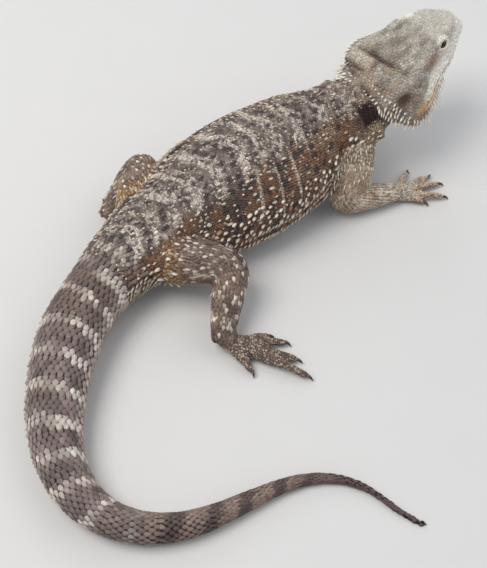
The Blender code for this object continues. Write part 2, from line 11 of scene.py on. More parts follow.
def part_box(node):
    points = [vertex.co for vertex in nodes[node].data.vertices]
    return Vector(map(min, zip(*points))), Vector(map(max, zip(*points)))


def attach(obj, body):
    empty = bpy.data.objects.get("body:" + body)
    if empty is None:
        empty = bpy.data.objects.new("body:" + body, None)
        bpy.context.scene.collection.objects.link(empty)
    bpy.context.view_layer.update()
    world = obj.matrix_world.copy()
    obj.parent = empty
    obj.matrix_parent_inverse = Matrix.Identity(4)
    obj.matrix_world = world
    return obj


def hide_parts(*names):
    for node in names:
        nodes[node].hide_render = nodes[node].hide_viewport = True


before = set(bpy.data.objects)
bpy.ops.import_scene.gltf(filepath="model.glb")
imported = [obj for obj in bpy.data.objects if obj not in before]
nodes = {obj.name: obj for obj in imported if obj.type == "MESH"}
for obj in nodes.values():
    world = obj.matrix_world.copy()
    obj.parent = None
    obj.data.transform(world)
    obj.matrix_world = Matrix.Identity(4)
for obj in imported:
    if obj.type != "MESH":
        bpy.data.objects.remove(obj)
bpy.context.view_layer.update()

# A bearded dragon low on its belly: one skin inside the CAD's flesh nodes, and on it scales, spines, eyes,
# ears, nails. Lengths are millimetres until a mesh is made; the frame and the scene are in metres.
mm = 0.001
rng = np.random.default_rng(7)
sides = ("right", "left")


# v divided by its length
def unit(v):
    return v / np.maximum(np.linalg.norm(v, axis=-1, keepdims=True), 1e-9)


# sum of the products along the last axis
def dot(a, b):
    return (a * b).sum(-1)


# 0 up to low, 1 from high on, and 3t^2 - 2t^3 between them
def smooth(low, high, x):
    t = np.clip((x - low) / (high - low), 0, 1)
    return t * t * (3 - 2 * t)


# rises from 0 to 1 between a and b, and falls back to 0 between c and d
def between(x, a, b, c, d):
    return smooth(a, b, x) * (1 - smooth(c, d, x))


# e to the -((x - middle) / width)^2
def bell(x, middle, width):
    return np.exp(-(((x - middle) / width) ** 2))


# straight lines between knots (x, y)
def curve(x, knots):
    xs, ys = zip(*knots)
    return np.interp(x, xs, ys)


# linear colour from ordinary 0..255 values
def paint(r, g, b):
    c = np.array([r, g, b], float) / 255
    return np.where(c <= 0.04045, c / 12.92, ((c + 0.055) / 1.055) ** 2.4)


# a (1 - share) + b share
def mixed(a, b, share):
    share = np.asarray(share)[..., None]
    return a * (1 - share) + b * share


# noise from 0 to 1: random values at the corners of a cubic lattice, blended by 3t^2 - 2t^3 on each axis
noiseTable = np.random.default_rng(11).random(4096)


def noise(p, size, seed=0):
    q = p / size + 100.0 + seed * 7.31
    cell = np.floor(q).astype(np.int64)
    t = q - cell
    t = t * t * (3 - 2 * t)
    total = np.zeros(len(p))
    for corner in np.ndindex(2, 2, 2):
        at = cell + np.array(corner)
        value = noiseTable[(at[:, 0] * 73 + at[:, 1] * 179 + at[:, 2] * 283 + seed * 57) % len(noiseTable)]
        total += value * np.prod(np.where(corner, t, 1 - t), axis=1)
    return total


# a mesh's points in millimetres
def meshPoints(mesh):
    co = np.empty(len(mesh.vertices) * 3, np.float32)
    mesh.vertices.foreach_get("co", co)
    return co.reshape(-1, 3).astype(float) / mm


# a smooth piece from points in millimetres and faces that all have as many corners
def addPiece(name, p, faces, material):
    mesh = bpy.data.meshes.new(name)
    mesh.vertices.add(len(p))
    mesh.vertices.foreach_set("co", (np.asarray(p) * mm).astype(np.float32).ravel())
    mesh.loops.add(faces.size)
    mesh.loops.foreach_set("vertex_index", faces.astype(np.int32).ravel())
    mesh.polygons.add(len(faces))
    mesh.polygons.foreach_set("loop_start", np.arange(0, faces.size, faces.shape[1], dtype=np.int32))
    mesh.update(calc_edges=True)
    mesh.validate()
    mesh.shade_smooth()
    mesh.materials.append(material)
    piece = bpy.data.objects.new(name, mesh)
    bpy.context.scene.collection.objects.link(piece)
    return piece


# a number, or a colour, for each point
def setAttribute(piece, name, values):
    values = np.asarray(values, np.float32)
    kind, key = ("FLOAT", "value") if values.ndim == 1 else ("FLOAT_COLOR", "color")
    if values.ndim == 2:
        values = np.concatenate([values, np.ones((len(values), 1), np.float32)], 1)
    piece.data.attributes.new(name, kind, "POINT").data.foreach_set(key, values.ravel())


# an unwrap from one (u, v) for each point
def setUv(piece, uv):
    layer = piece.data.uv_layers.new(name="OFBake")
    index = np.empty(len(piece.data.loops), np.int32)
    piece.data.loops.foreach_get("vertex_index", index)
    layer.data.foreach_set("uv", uv[index].astype(np.float32).ravel())


# faces turned so that the sum of a . (b x c) over them, which is six times the volume, is above 0
def outward(p, faces):
    a, b, c = (p[faces[:, i]] - p.mean(0) for i in range(3))
    return faces if dot(a, np.cross(b, c)).sum() > 0 else faces[:, ::-1]


# two triangles for each cell between one ring of points and the next, for rings of count points
def ringCells(rows, count):
    row, k = np.meshgrid(np.arange(rows - 1) * count, np.arange(count), indexing="ij")
    a, b = (row + k).ravel(), (row + (k + 1) % count).ravel()
    return np.concatenate([np.stack([a, a + count, b + count], 1), np.stack([a, b + count, b], 1)])


# rings of points (rows x count x 3) closed by a fan from a first point and a fan to a last one
def closedRings(ring, first, last):
    rows, count = ring.shape[:2]
    k, end, total = np.arange(count), (rows - 1) * count, rows * count
    after = np.roll(k, -1)
    firstFan = np.stack([np.full(count, total), k, after], 1)
    lastFan = np.stack([np.full(count, total + 1), end + after, end + k], 1)
    p = np.concatenate([ring.reshape(-1, 3), [first, last]])
    return p, outward(p, np.concatenate([ringCells(rows, count), firstFan, lastFan]))


# rings of points round a path: path + (across cos t + rise sin t flat) radius
def tubeRings(path, radius, flat=1.0, count=12):
    tangent = unit(np.gradient(path, axis=0))
    across = unit(np.cross(tangent, np.array([0, 0, 1.0])))[:, None]
    rise = np.cross(across[:, 0], tangent)[:, None]
    turn = np.linspace(0, 2 * np.pi, count, endpoint=False)[:, None]
    return path[:, None] + (across * np.cos(turn) + rise * np.sin(turn) * flat) * radius[:, None, None]


# four-sided faces between the rings of a tube, and one over each end
def addTube(bm, path, radius, flat=1.0):
    ring = tubeRings(path, radius, flat)
    index = np.arange(ring.shape[0] * ring.shape[1]).reshape(ring.shape[:2])
    after = np.roll(index, -1, 1)
    quads = np.stack([index[:-1], after[:-1], after[1:], index[1:]], 2).reshape(-1, 4)
    mesh = bpy.data.meshes.new("tube")
    points = ring.reshape(-1, 3).astype(np.float32) * np.float32(mm)
    mesh.from_pydata(points.tolist(), [], quads.tolist() + [index[0, ::-1].tolist(), index[-1].tolist()])
    bm.from_mesh(mesh)


# the body's centre lines, read from where the CAD nodes meet

lineForm = {"gap": 0.6, "step": 2.0, "snout": 4.0, "nape": 16.0, "tip": 0.8}
nodePoints = {name: np.unique(meshPoints(node.data).round(3), axis=0) for name, node in nodes.items()}


# middle and mean radius of the outline along which two nodes meet
def meeting(a, b):
    pa, pb = nodePoints[a], nodePoints[b]
    near = np.linalg.norm(pa[:, None] - pb[None], axis=2).min(1)
    rim = pa[near < lineForm["gap"]]
    middle = (rim.min(0) + rim.max(0)) / 2
    return middle, np.linalg.norm(rim - middle, axis=1).mean()


# the point with the longest way from a start
def farthest(points, start):
    return points[np.argmax(np.linalg.norm(points - start, axis=1))]


# the length along a path up to each of its points
def lengthAlong(path):
    return np.concatenate([[0], np.cumsum(np.linalg.norm(np.diff(path, axis=0), axis=1))])


# Catmull-Rom curve through the stations, half of 2b + (c - a)t + (2a - 5b + 4c - d)t^2 + (3b - a - 3c +
# d)t^3 from one to the next, read at even steps along its length
def centreLine(stations, radii):
    k = np.array(stations)
    ends = np.concatenate([[2 * k[0] - k[1]], k, [2 * k[-1] - k[-2]]])
    t = np.linspace(0, 1, 24, endpoint=False)[:, None]
    fine, fineRadius = [], []
    for i in range(len(k) - 1):
        a, b, c, d = ends[i : i + 4]
        square, cube = 2 * a - 5 * b + 4 * c - d, 3 * b - a - 3 * c + d
        fine.append(0.5 * (2 * b + (c - a) * t + square * t**2 + cube * t**3))
        fineRadius.append(radii[i] + (radii[i + 1] - radii[i]) * t[:, 0])
    fine = np.concatenate(fine + [k[-1:]])
    fineRadius = np.concatenate(fineRadius + [radii[-1:]])
    along = lengthAlong(fine)
    s = np.linspace(0, along[-1], max(4, int(along[-1] / lineForm["step"])))
    centre = np.stack([np.interp(s, along, fine[:, i]) for i in range(3)], 1)
    ahead = unit(np.gradient(centre, axis=0))
    up = unit(np.array([0, 0, 1.0]) - ahead * ahead[:, 2:])
    stationAt = [along[np.argmin(np.linalg.norm(fine - station, axis=1))] for station in k]
    return {"s": s, "centre": centre, "ahead": ahead, "up": up, "radius": np.interp(s, along, fineRadius),
            "stations": np.array(stationAt)}


nape = (meeting("neck", "head")[0] + meeting("neck", "jaw")[0]) / 2
snout = farthest(np.concatenate([nodePoints["head"], nodePoints["jaw"]]), nape)
stations, radii = [snout, nape], [lineForm["snout"], lineForm["nape"]]
spineNames = ["neck", "chest", "belly", "pelvis"] + [f"tail_{i}" for i in range(1, 7)]
for a, b in zip(spineNames, spineNames[1:]):
    middle, radius = meeting(a, b)
    stations.append(middle)
    radii.append(radius)
stations.append(farthest(nodePoints["tail_6"], stations[-1]))
radii.append(lineForm["tip"])
lines = {"spine": centreLine(stations, radii)}
sNape, sTail = lines["spine"]["stations"][1], lines["spine"]["stations"][5]

# Digits run from the wrist (kept between two heights) by the knuckle and the joint, given as shares of the
# way, to the root of the nail and a little beyond it. Heights are of knuckle, joint, nail root and end.
digitForm = {"wrist": (3.2, 7.0), "shares": (0.46, 0.74), "heights": (3.2, 3.78, 2.3, 1.5), "beyond": 2.0,
             "radii": (3.0, 1.95, 1.62, 1.45, 1.15)}
limbNodes = {"arm": ("chest", "upper_arm", "forearm", "hand"), "leg": ("pelvis", "thigh", "shin", "foot")}
for limb, (root, upper, lower, end) in limbNodes.items():
    for side in sides:
        stations, radii = zip(meeting(f"{upper}_{side}", root), meeting(f"{lower}_{side}", f"{upper}_{side}"),
                              meeting(f"{end}_{side}", f"{lower}_{side}"))
        lines[f"{limb}_{side}"] = centreLine(stations, np.array(radii))
        for n in range(1, 6):
            claw = nodePoints[f"claw_{end}_{side}_{n}"]
            base = claw[np.argmin(np.linalg.norm(claw - stations[-1], axis=1))].copy()
            wrist = stations[-1].copy()
            wrist[2] = np.clip(wrist[2], *digitForm["wrist"])
            path = [wrist] + [wrist + (base - wrist) * share for share in digitForm["shares"]]
            path += [base, base + unit((base - wrist) * (1, 1, 0)) * digitForm["beyond"]]
            for point, height in zip(path[1:], digitForm["heights"]):
                point[2] = height
            lines[f"{end}_{side}_{n}"] = centreLine(path, np.array(digitForm["radii"]))
lineList = list(lines)
allCentre, allAhead, allUp, allRadius, allS = (
    np.concatenate([lines[n][key] for n in lineList]) for key in ("centre", "ahead", "up", "radius", "s"))
allLine = np.concatenate([np.full(len(lines[n]["s"]), i) for i, n in enumerate(lineList)])
lineKind = np.array([{"spine": "body", "hand": "digit", "foot": "digit"}.get(n.split("_")[0], n.split("_")[0])
                     for n in lineList])


# For each point: the centre line it belongs to and its kind, the distance along that line, the angle round
# it (0 at the back, + to the animal's left), the line's direction there, and the distance out. A line's pull
# is the distance over its radius, and step and off are the parts of the offset along and across it.
def locate(p, block=4000):
    best = np.empty(len(p), int)
    for i in range(0, len(p), block):
        gap = ((p[i : i + block, None] - allCentre[None]) ** 2).sum(2) / allRadius**2
        best[i : i + block] = gap.argmin(1)
    ahead, up = allAhead[best], allUp[best]
    off = p - allCentre[best]
    step = dot(off, ahead)
    off = off - ahead * step[:, None]
    angle = np.degrees(np.arctan2(dot(off, np.cross(ahead, up)), dot(off, up)))
    return {"line": allLine[best], "kind": lineKind[allLine[best]], "s": allS[best] + step, "angle": angle,
            "ahead": ahead, "out": np.linalg.norm(off, axis=1)}


# the face's own axes: f forward, l to the animal's left, u up, from the middle between the eyes

faceForm = {"ear rise": 7.8}  # degrees by which the ears lie over the level of the eyes, seen from the eyes


# (low + high) / 2 of a node's box
def boxMiddle(name):
    low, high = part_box(name)
    return np.array((low + high) / 2) / mm


eyes = {side: boxMiddle(f"eye_{side}") for side in ("left", "right")}
ears = {side: boxMiddle(f"ear_{side}") for side in ("left", "right")}
faceOrigin = (eyes["left"] + eyes["right"]) / 2
faceLeft = unit(eyes["left"] - eyes["right"])
fromEars = faceOrigin - (ears["left"] + ears["right"]) / 2
fromEars = unit(fromEars - faceLeft * dot(fromEars, faceLeft))
earRise = math.radians(faceForm["ear rise"])
faceAhead = fromEars * math.cos(earRise) + np.cross(fromEars, faceLeft) * math.sin(earRise)
faceUp = np.cross(faceAhead, faceLeft)


# offsets from the origin along each axis
def faceCoordinates(p):
    off = p - faceOrigin
    return off @ faceAhead, off @ faceLeft, off @ faceUp


# origin + ahead f + left l + up u
def facePoint(f, l, u):
    return faceOrigin + faceAhead * f + faceLeft * l + faceUp * u


# distance to the nearer eye's middle
def eyeGap(p):
    return np.minimum(*(np.linalg.norm(p - eyes[side], axis=1) for side in eyes))


# the line between the lips: its height u is a straight line in f, fitted to the gap between head and jaw
gapToJaw = np.linalg.norm(nodePoints["head"][:, None] - nodePoints["jaw"][None], axis=2).min(1)
lipF, _, lipU = faceCoordinates(nodePoints["head"][gapToJaw < lineForm["gap"]])
lipLine = np.polyfit(lipF, lipU, 1)
print("centre lines:", len(lineList), "nape at", round(sNape, 1), "tail at", round(sTail, 1))


# skin: the flesh nodes joined into one, smoothed, and sunk by the depth of the coat

skinForm = {"swell": 0.3, "voxel": 0.95, "rounds": 5, "digit rounds": 2, "lids": 5.7, "triangles": 190000}
coatDepth = {"digit": 0.3, "limb": 0.5, "face": 0.5, "tail": 0.7, "trunk": 0.75}
# wrist or ankle: radii of the tube over it to the palm, and of the heel's tube with places along the foot
handForm = {"palm": (4.6, 4.9, 4.4, 2.8), "palm flat": 0.85, "heel height": 4.6, "heel flat": 0.92,
            "heel": ((-4.4, 1.2), (-2.6, 3.5), (0, 4.5), (4, 3.6)), "fuller": 0.25, "toe": 1.14, "end": 0.6}
fleshNames = [n for n in nodes if n.split("_")[0] not in ("eye", "ear", "claw")]


# tubes along the digits of a hand or foot, over its wrist or ankle, and round its heel
def addHand(bm, limb, end, side):
    digits = [lines[f"{end}_{side}_{k}"] for k in range(1, 6)]
    for digit in digits:
        radius = digit["radius"] * (handForm["toe"] if end == "foot" else 1.0)
        radius[-1] *= handForm["end"]
        addTube(bm, digit["centre"], radius + handForm["fuller"])
    wrist = lines[f"{limb}_{side}"]["centre"]
    palm = np.mean([d["centre"][len(d["centre"]) * 2 // 5] for d in digits[1:4]], axis=0)
    path = np.stack([wrist[-4], wrist[-1], (wrist[-1] + palm) / 2, palm])
    addTube(bm, path, np.array(handForm["palm"]), handForm["palm flat"])
    toward = unit((palm - wrist[-1]) * (1, 1, 0))
    heel = wrist[-1] * (1, 1, 0) + np.array([0, 0, handForm["heel height"]])
    place, radius = np.array(handForm["heel"]).T
    addTube(bm, heel + toward * place[:, None], radius, handForm["heel flat"])


# the flesh nodes, each pushed out by the swell so that they overlap, with tubes for hands and feet and balls
# for the lids, fused by a voxel remesh
def joinedFlesh():
    bm = bmesh.new()
    for name in fleshNames:
        if name.split("_")[0] not in ("hand", "foot"):
            bm.from_mesh(nodes[name].data)
    bmesh.ops.remove_doubles(bm, verts=bm.verts, dist=0.01 * mm)
    mesh = bpy.data.meshes.new("flesh")
    bm.to_mesh(mesh)
    bm.free()
    normals = np.empty(len(mesh.vertices) * 3, np.float32)
    mesh.vertex_normals.foreach_get("vector", normals)
    co = meshPoints(mesh) * mm + normals.reshape(-1, 3) * skinForm["swell"] * mm
    mesh.vertices.foreach_set("co", co.astype(np.float32).ravel())
    bm = bmesh.new()
    bm.from_mesh(mesh)
    for limb, (*_, end) in limbNodes.items():
        for side in sides:
            addHand(bm, limb, end, side)
    for side in eyes:
        at = Matrix.Translation(Vector(eyes[side]) * mm)
        bmesh.ops.create_icosphere(bm, subdivisions=4, radius=skinForm["lids"] * mm, matrix=at)
    bmesh.ops.recalc_face_normals(bm, faces=bm.faces)
    bm.to_mesh(mesh)
    bm.free()
    flesh = bpy.data.objects.new("flesh", mesh)
    bpy.context.scene.collection.objects.link(flesh)
    fuse = flesh.modifiers.new("fuse", "REMESH")
    fuse.mode = "VOXEL"
    fuse.voxel_size = skinForm["voxel"] * mm
    bpy.context.view_layer.update()
    graph = bpy.context.evaluated_depsgraph_get()
    fused = bpy.data.meshes.new_from_object(flesh.evaluated_get(graph))
    bpy.data.objects.remove(flesh)
    return fused


# halves the edges whose middles pass a test
def refine(mesh, test):
    bm = bmesh.new()
    bm.from_mesh(mesh)
    edges = list(bm.edges)
    middle = np.array([(e.verts[0].co + e.verts[1].co) / 2 for e in edges]) / mm
    picked = [edges[i] for i in np.flatnonzero(test(middle))]
    bmesh.ops.subdivide_edges(bm, edges=picked, cuts=1, use_grid_fill=True)
    bmesh.ops.triangulate(bm, faces=[f for f in bm.faces if len(f.verts) > 4])
    bm.to_mesh(mesh)
    bm.free()


# each point moved by half of the way to the mean of its neighbours, in rounds
def relax(p, edges, rounds):
    count = np.bincount(edges.ravel(), minlength=len(p))[:, None]
    for _ in range(rounds):
        total = np.stack([np.bincount(edges[:, 0], p[edges[:, 1], i], len(p)) +
                          np.bincount(edges[:, 1], p[edges[:, 0], i], len(p)) for i in range(3)], 1)
        p = p + (total / np.maximum(count, 1) - p) * 0.5
    return p


# a mesh's points in millimetres, edges and triangles
def arraysOf(mesh):
    edges = np.empty(len(mesh.edges) * 2, np.int32)
    mesh.edges.foreach_get("vertices", edges)
    mesh.calc_loop_triangles()
    tris = np.empty(len(mesh.loop_triangles) * 3, np.int32)
    mesh.loop_triangles.foreach_get("vertices", tris)
    return meshPoints(mesh), edges.reshape(-1, 2), tris.reshape(-1, 3)


# twice each triangle's area along its normal: (b - a) x (c - a)
def areaNormals(p, tris):
    return np.cross(p[tris[:, 1]] - p[tris[:, 0]], p[tris[:, 2]] - p[tris[:, 0]])


# the sum of the area normals of the triangles round each point, made a unit vector
def pointNormals(p, tris):
    face = areaNormals(p, tris)
    total = np.zeros_like(p)
    for k in range(3):
        for i in range(3):
            total[:, i] += np.bincount(tris[:, k], face[:, i], len(p))
    return unit(total)


skinMesh = joinedFlesh()
refine(skinMesh, lambda p: (faceCoordinates(p)[0] > -42) & (p[:, 2] > 20))  # the head
refine(skinMesh, lambda p: eyeGap(p) < 7.5)
refine(skinMesh, lambda p: (locate(p)["kind"] == "digit") & (p[:, 2] < 9))
skinPoints, skinEdges, skinTris = arraysOf(skinMesh)
place = locate(skinPoints)
onDigit, onTail = place["kind"] == "digit", (place["kind"] == "body") & (place["s"] > sTail)
lightlyRelaxed = relax(skinPoints, skinEdges, skinForm["digit rounds"])
skinPoints = relax(skinPoints, skinEdges, skinForm["rounds"])
skinPoints[onDigit] = lightlyRelaxed[onDigit]
skinNormals = pointNormals(skinPoints, skinTris)
depth = np.select([onDigit, place["kind"] != "body", place["s"] < sNape, place["s"] > sTail],
                  [coatDepth[key] for key in ("digit", "limb", "face", "tail")], coatDepth["trunk"])
depth[onTail] *= np.clip(place["out"][onTail] / 5, 0.35, 1)  # thinner towards the tail's tip
skinPoints = skinPoints - skinNormals * (depth + skinForm["swell"] * 0.6)[:, None]

# How far the skin moves out (+) or in (-) on the face, in millimetres. Each form is a bell across a line or
# round a place, faded towards its ends by smooth steps.
faceForms = {"lip flare": 1.9, "lip": 0.45, "mouth": 0.95, "brow": 1.0, "temple": 0.7, "cheek": 1.0,
             "lore": 0.5, "nostril": 0.9, "nostril rim": 0.3, "ear": 1.5, "ridges": 0.84, "lumps": 0.504}
nostrilAt = np.array([15.2, 3.9, -4.6])


# face axes, the angle from the crown down the side (from 4 mm below), the height over the line between the
# lips, and the distance to the nostril of that side
def facePlace(p):
    f, l, u = faceCoordinates(p)
    side = np.abs(l)
    toNostril = np.linalg.norm(np.stack([f, side, u], 1) - nostrilAt, axis=1)
    return f, l, u, np.degrees(np.arctan2(side, u + 4)), u - np.polyval(lipLine, f), toNostril


# the sum of these forms on the head, and the flare of the lips out to the sides
def faceShape(p, onHead):
    f, l, u, angle, lip, toNostril = facePlace(p)
    form, along = faceForms, smooth(-27, -20, f)
    out = form["lip"] * (bell(lip, 1.3, 0.9) + bell(lip, -1.3, 0.9)) * along
    out -= form["mouth"] * bell(lip, 0, 0.42) * along
    out += form["brow"] * bell(angle, 50, 10) * between(f, -14, -7, 8, 15)
    out -= form["temple"] * bell(angle, 72, 14) * bell(f, -13, 5)
    out += form["cheek"] * bell(angle, 92, 22) * bell(f, -23, 7)
    out -= form["lore"] * bell(angle, 78, 14) * bell(f, 9, 4)
    out -= form["nostril"] * bell(toNostril, 0, 0.75)
    out += form["nostril rim"] * bell(toNostril, 1.2, 0.5)
    for middle in ears.values():
        out -= form["ear"] * bell(np.linalg.norm(p - middle, axis=1), 0, 3.0)
    ridged = noise(np.stack([f * 0.3, l, u * 0.5], 1), 2.6, 6)
    out += form["ridges"] * (ridged - 0.5) * smooth(-4, 3, u) * (1 - smooth(2, 12, f))
    out += form["lumps"] * (noise(p, 5.5, 9) - 0.5)
    return out * onHead, form["lip flare"] * bell(lip, -0.5, 4.2) * between(f, -34, -24, -4, 13) * onHead


# name: distance along the spine from the nape, width, depth (+ out), from and to angle, slant, side (0 both)
folds = {
    "nape": (-10.5, 1.1, -2.2, 0, 46, -0.03, 0),
    "nape roll": (-6.3, 2.3, 1.7, 4, 50, -0.03, 1), "nape roll right": (-6.5, 2.2, 0.9, 0, 40, -0.03, -1),
    "nape pocket": (-1.6, 1.3, -1.8, 14, 58, 0.0, 1), "nape second roll": (1.6, 1.6, 0.9, 10, 52, 0.0, 1),
    "behind cheek": (5.2, 1.4, -1.9, 8, 88, 0.0, 0),
    "cheek edge": (1.2, 1.6, 1.1, 20, 92, 0.0, 0),
    "pocket": (11.0, 3.2, -2.2, 36, 80, 0.0, 0),
    "pocket rim": (16.5, 1.8, 1.2, 26, 100, 0.0, 0),
    "gular": (9.5, 2.4, 3.4, 86, 112, 0.0, 0),
    "shoulder": (25.0, 1.6, -0.8, 45, 95, 0.0, 0),
    "crease 1": (55.5, 0.7, 0.5, 38, 78, 0.12, -1), "crease 2": (59.8, 0.7, -0.5, 34, 84, 0.12, -1),
    "crease 3": (67.0, 0.7, 0.5, 42, 84, 0.14, -1), "crease 4": (78.0, 0.8, 0.5, 36, 78, 0.21, -1),
    "crease 5": (82.0, 0.8, -0.4, 36, 80, 0.2, -1),
    "crease 6": (60.0, 0.8, 0.4, 45, 84, 0.14, 1), "crease 7": (74.0, 0.8, -0.4, 40, 84, 0.18, 1),
}
# a loose fold along the left flank before the thigh: depth (+ out), angle at the start, width in degrees
flankFold = ((-1.5, 59, 2.6), (0.9, 66, 4.5))


# the sum of height bell(s - slant (angle - low)) over the folds, each faded at both ends
def foldShape(s, angle):
    turned = np.abs(angle)
    out = np.zeros(len(s))
    for at, width, height, low, high, slant, side in folds.values():
        inside = between(turned, low - 8, low + 6, high - 6, high + 8)
        if side:
            inside = inside * (angle * side > 0)
        out += height * bell(s - slant * (turned - low), at, width) * inside
    for height, start, width in flankFold:
        out += height * bell(angle, start - 0.12 * (s - 96), width) * between(s, 84, 96, 140, 150)
    return out


place = locate(skinPoints)
facing = smooth(-0.1, 0.7, skinNormals @ faceAhead)
fuller = (place["kind"] == "arm") * facing * bell(place["s"], 6, 11) * 2.2  # the front of the upper arms
skinPoints = skinPoints + skinNormals * fuller[:, None]
faceF, faceL, _ = faceCoordinates(skinPoints)
onBody = place["kind"] == "body"
pushed, flare = faceShape(skinPoints, smooth(-46, -38, faceF) * onBody)
folded = foldShape(place["s"] - sNape, place["angle"]) * onBody
skinPoints = skinPoints + skinNormals * (pushed + folded)[:, None]
skinPoints = skinPoints + faceLeft * (np.sign(faceL) * flare)[:, None]

# The eye's axis points out to the side, turned up and ahead in degrees; the opening's half lengths are
# angles on the ball. The skin follows a ball a little over the eye, as far as reach, and inside the opening
# it drops to the socket.
eyeForm = {"up": 30, "ahead": 9, "radius": 4.6, "cornea": 0.16, "lid": 5.3, "socket": 3.7,
           "long": 30, "high": 20, "reach": 64, "inner": 0.9, "pupil": 15.0, "iris": 26.0}


# axis: side cos up + up sin up + ahead sin ahead; long: the way ahead laid square to it; high: their cross
def eyeAxes(side):
    sign = 1 if side == "left" else -1
    up, ahead = math.radians(eyeForm["up"]), math.radians(eyeForm["ahead"])
    axis = unit(faceLeft * sign * math.cos(up) + faceUp * math.sin(up) + faceAhead * math.sin(ahead))
    long = unit(faceAhead - axis * dot(faceAhead, axis))
    return axis, long, np.cross(axis, long) * -sign


# an ellipse in polar angle: 1 / sqrt((cos t / long)^2 + (sin t / high)^2), in degrees
def openingEdge(turn):
    return 1 / np.sqrt((np.cos(turn) / eyeForm["long"]) ** 2 + (np.sin(turn) / eyeForm["high"]) ** 2)


# eye middle + (axis cos a + (long cos t + high sin t) sin a) r
def onBall(side, a, t, r):
    axis, long, high = eyeAxes(side)
    around = long * np.cos(t)[..., None] + high * np.sin(t)[..., None]
    return (axis * np.cos(a)[..., None] + around * np.sin(a)[..., None]) * r[..., None] + eyes[side]


# where a point is round an eye: distance, angle from the axis, and share of the way to the opening's edge
def roundEye(p, side):
    axis, long, high = eyeAxes(side)
    off = p - eyes[side]
    far = np.linalg.norm(off, axis=1)
    polar = np.degrees(np.arccos(np.clip(off @ axis / far, -1, 1)))
    return far, polar, polar / openingEdge(np.arctan2(off @ high, off @ long))


for side in eyes:
    far, polar, across = roundEye(skinPoints, side)
    lid = eyeForm["lid"] + 0.2 * bell(across, 1.25, 0.2) - 0.25 * bell(across, 1.75, 0.16)
    inside = across < eyeForm["inner"]
    ball = np.where(inside, eyeForm["socket"], lid)
    share = (1 - smooth(eyeForm["reach"] * 0.72, eyeForm["reach"], polar)) * (far < 9) * (polar < 90)
    share = np.where(far < lid, 1 - smooth(80, 90, polar), share)
    raised = np.where(inside, ball, np.maximum(far, ball) * 0.25 + ball * 0.75)
    goal = eyes[side] + (skinPoints - eyes[side]) / far[:, None] * raised[:, None]
    skinPoints = skinPoints + (goal - skinPoints) * share[:, None]
inSocket = np.zeros(len(skinPoints), bool)
for side in eyes:
    far, polar, across = roundEye(skinPoints, side)
    inSocket |= (across < eyeForm["inner"]) & (far < 5.0) & (polar < 60)
skinPoints[:, 2] = np.maximum(skinPoints[:, 2], 0.05)
skinNormals = pointNormals(skinPoints, skinTris)
place = locate(skinPoints)
print("skin:", len(skinPoints), "points", len(skinTris), "triangles")


# markings and painted shade: one function of place, used by the skin and by every scale

toneValues = {  # red, green and blue, 0..255
    # the tone maroon is painted shade: in the neck's folds and the flank's creases, under the head's rear
    # edge, in the nostrils and the slit between the lips, and in the pocket behind the cheek, where it is
    # also the skin's own dark tone
    "back": (136, 121, 111), "backPale": (204, 192, 180), "backDark": (100, 86, 80), "slate": (56, 49, 50),
    "rust": (122, 88, 66), "umber": (80, 64, 58), "tan": (144, 119, 96), "cream": (222, 210, 190),
    "orange": (158, 120, 92), "belly": (186, 172, 150), "shadeMaroon": (44, 20, 22), "gular": (158, 140, 112),
    "head": (150, 142, 128), "headPale": (206, 199, 187), "headDark": (108, 98, 88), "brow": (182, 124, 74),
    # ear is the brown of the painted shade round the ears
    "lip": (240, 234, 220), "rictus": (212, 160, 92), "ear": (118, 96, 84), "pink": (176, 128, 112),
    "tailDark": (132, 116, 110), "tailMid": (98, 84, 80), "tailPale": (220, 208, 196),
    "tailTan": (130, 110, 100), "tailSpot": (84, 70, 66), "tailTip": (90, 74, 70),
    "limb": (120, 101, 90), "limbPale": (222, 208, 188),
    "limbDark": (86, 70, 64), "hand": (190, 176, 156), "ochre": (172, 130, 74), "foot": (106, 88, 77),
    "digit": (166, 120, 90),
    "eyePupil": (12, 9, 11), "eyeIris": (84, 50, 34), "eyeGold": (132, 92, 62), "eyeRim": (26, 16, 15),
    "eyeWhite": (60, 38, 32), "lidPale": (236, 224, 204), "lidDark": (206, 184, 160),
    "drumPale": (128, 108, 94), "drumDark": (98, 78, 68), "nailRoot": (74, 52, 40), "nailTip": (14, 11, 11),
}
tones = {name: paint(*values) for name, values in toneValues.items()}
# pale rows across the back: distances from the nape, and how far they slant back to a degree down the side
paleRows = {"at": (14, 27, 41, 54, 66, 77, 91, 103, 115, 126, 137, 148), "slant": 0.15}
darkSpots = {"cell": 5.6, "radius": 1.65, "seed": 3, "share": 0.8}
tailBands = {"length": 14.5, "start": 3, "pale": 0.78}


# a colour with tones laid over it in turn, each by its share: a (1 - share) + b share
def layered(colour, *layers):
    colour = tones[colour] if isinstance(colour, str) else colour
    for tone, share in layers:
        colour = mixed(colour, tones[tone] if isinstance(tone, str) else tone, share)
    return colour


# s less the slant times the angle, and how far that is from the nearest pale row
def rowPlace(s, turned):
    rowS = s - paleRows["slant"] * turned
    return rowS, np.abs(rowS[:, None] - np.array(paleRows["at"])).min(1)


# 1 inside round spots: one spot to a cell of a grid over (x, y), moved and sized at random
def spots(x, y, cell, radius, seed, share):
    best = np.zeros(len(x))
    for i, j in np.ndindex(3, 3):
        cx, cy = np.floor(x / cell) + i - 1, np.floor(y / cell) + j - 1
        key = (cx * 131 + cy * 197 + seed * 71).astype(np.int64)
        jx, jy, size, chance = (noiseTable[(key * k + k) % len(noiseTable)] for k in (7, 13, 29, 43))
        gap = np.hypot(x - (cx + 0.32 + 0.36 * jx) * cell, y - (cy + 0.32 + 0.36 * jy) * cell)
        reach = radius * (0.75 + 0.45 * size)
        best = np.maximum(best, (1 - smooth(reach * 0.75, reach * 1.15, gap)) * (chance < share))
    return best


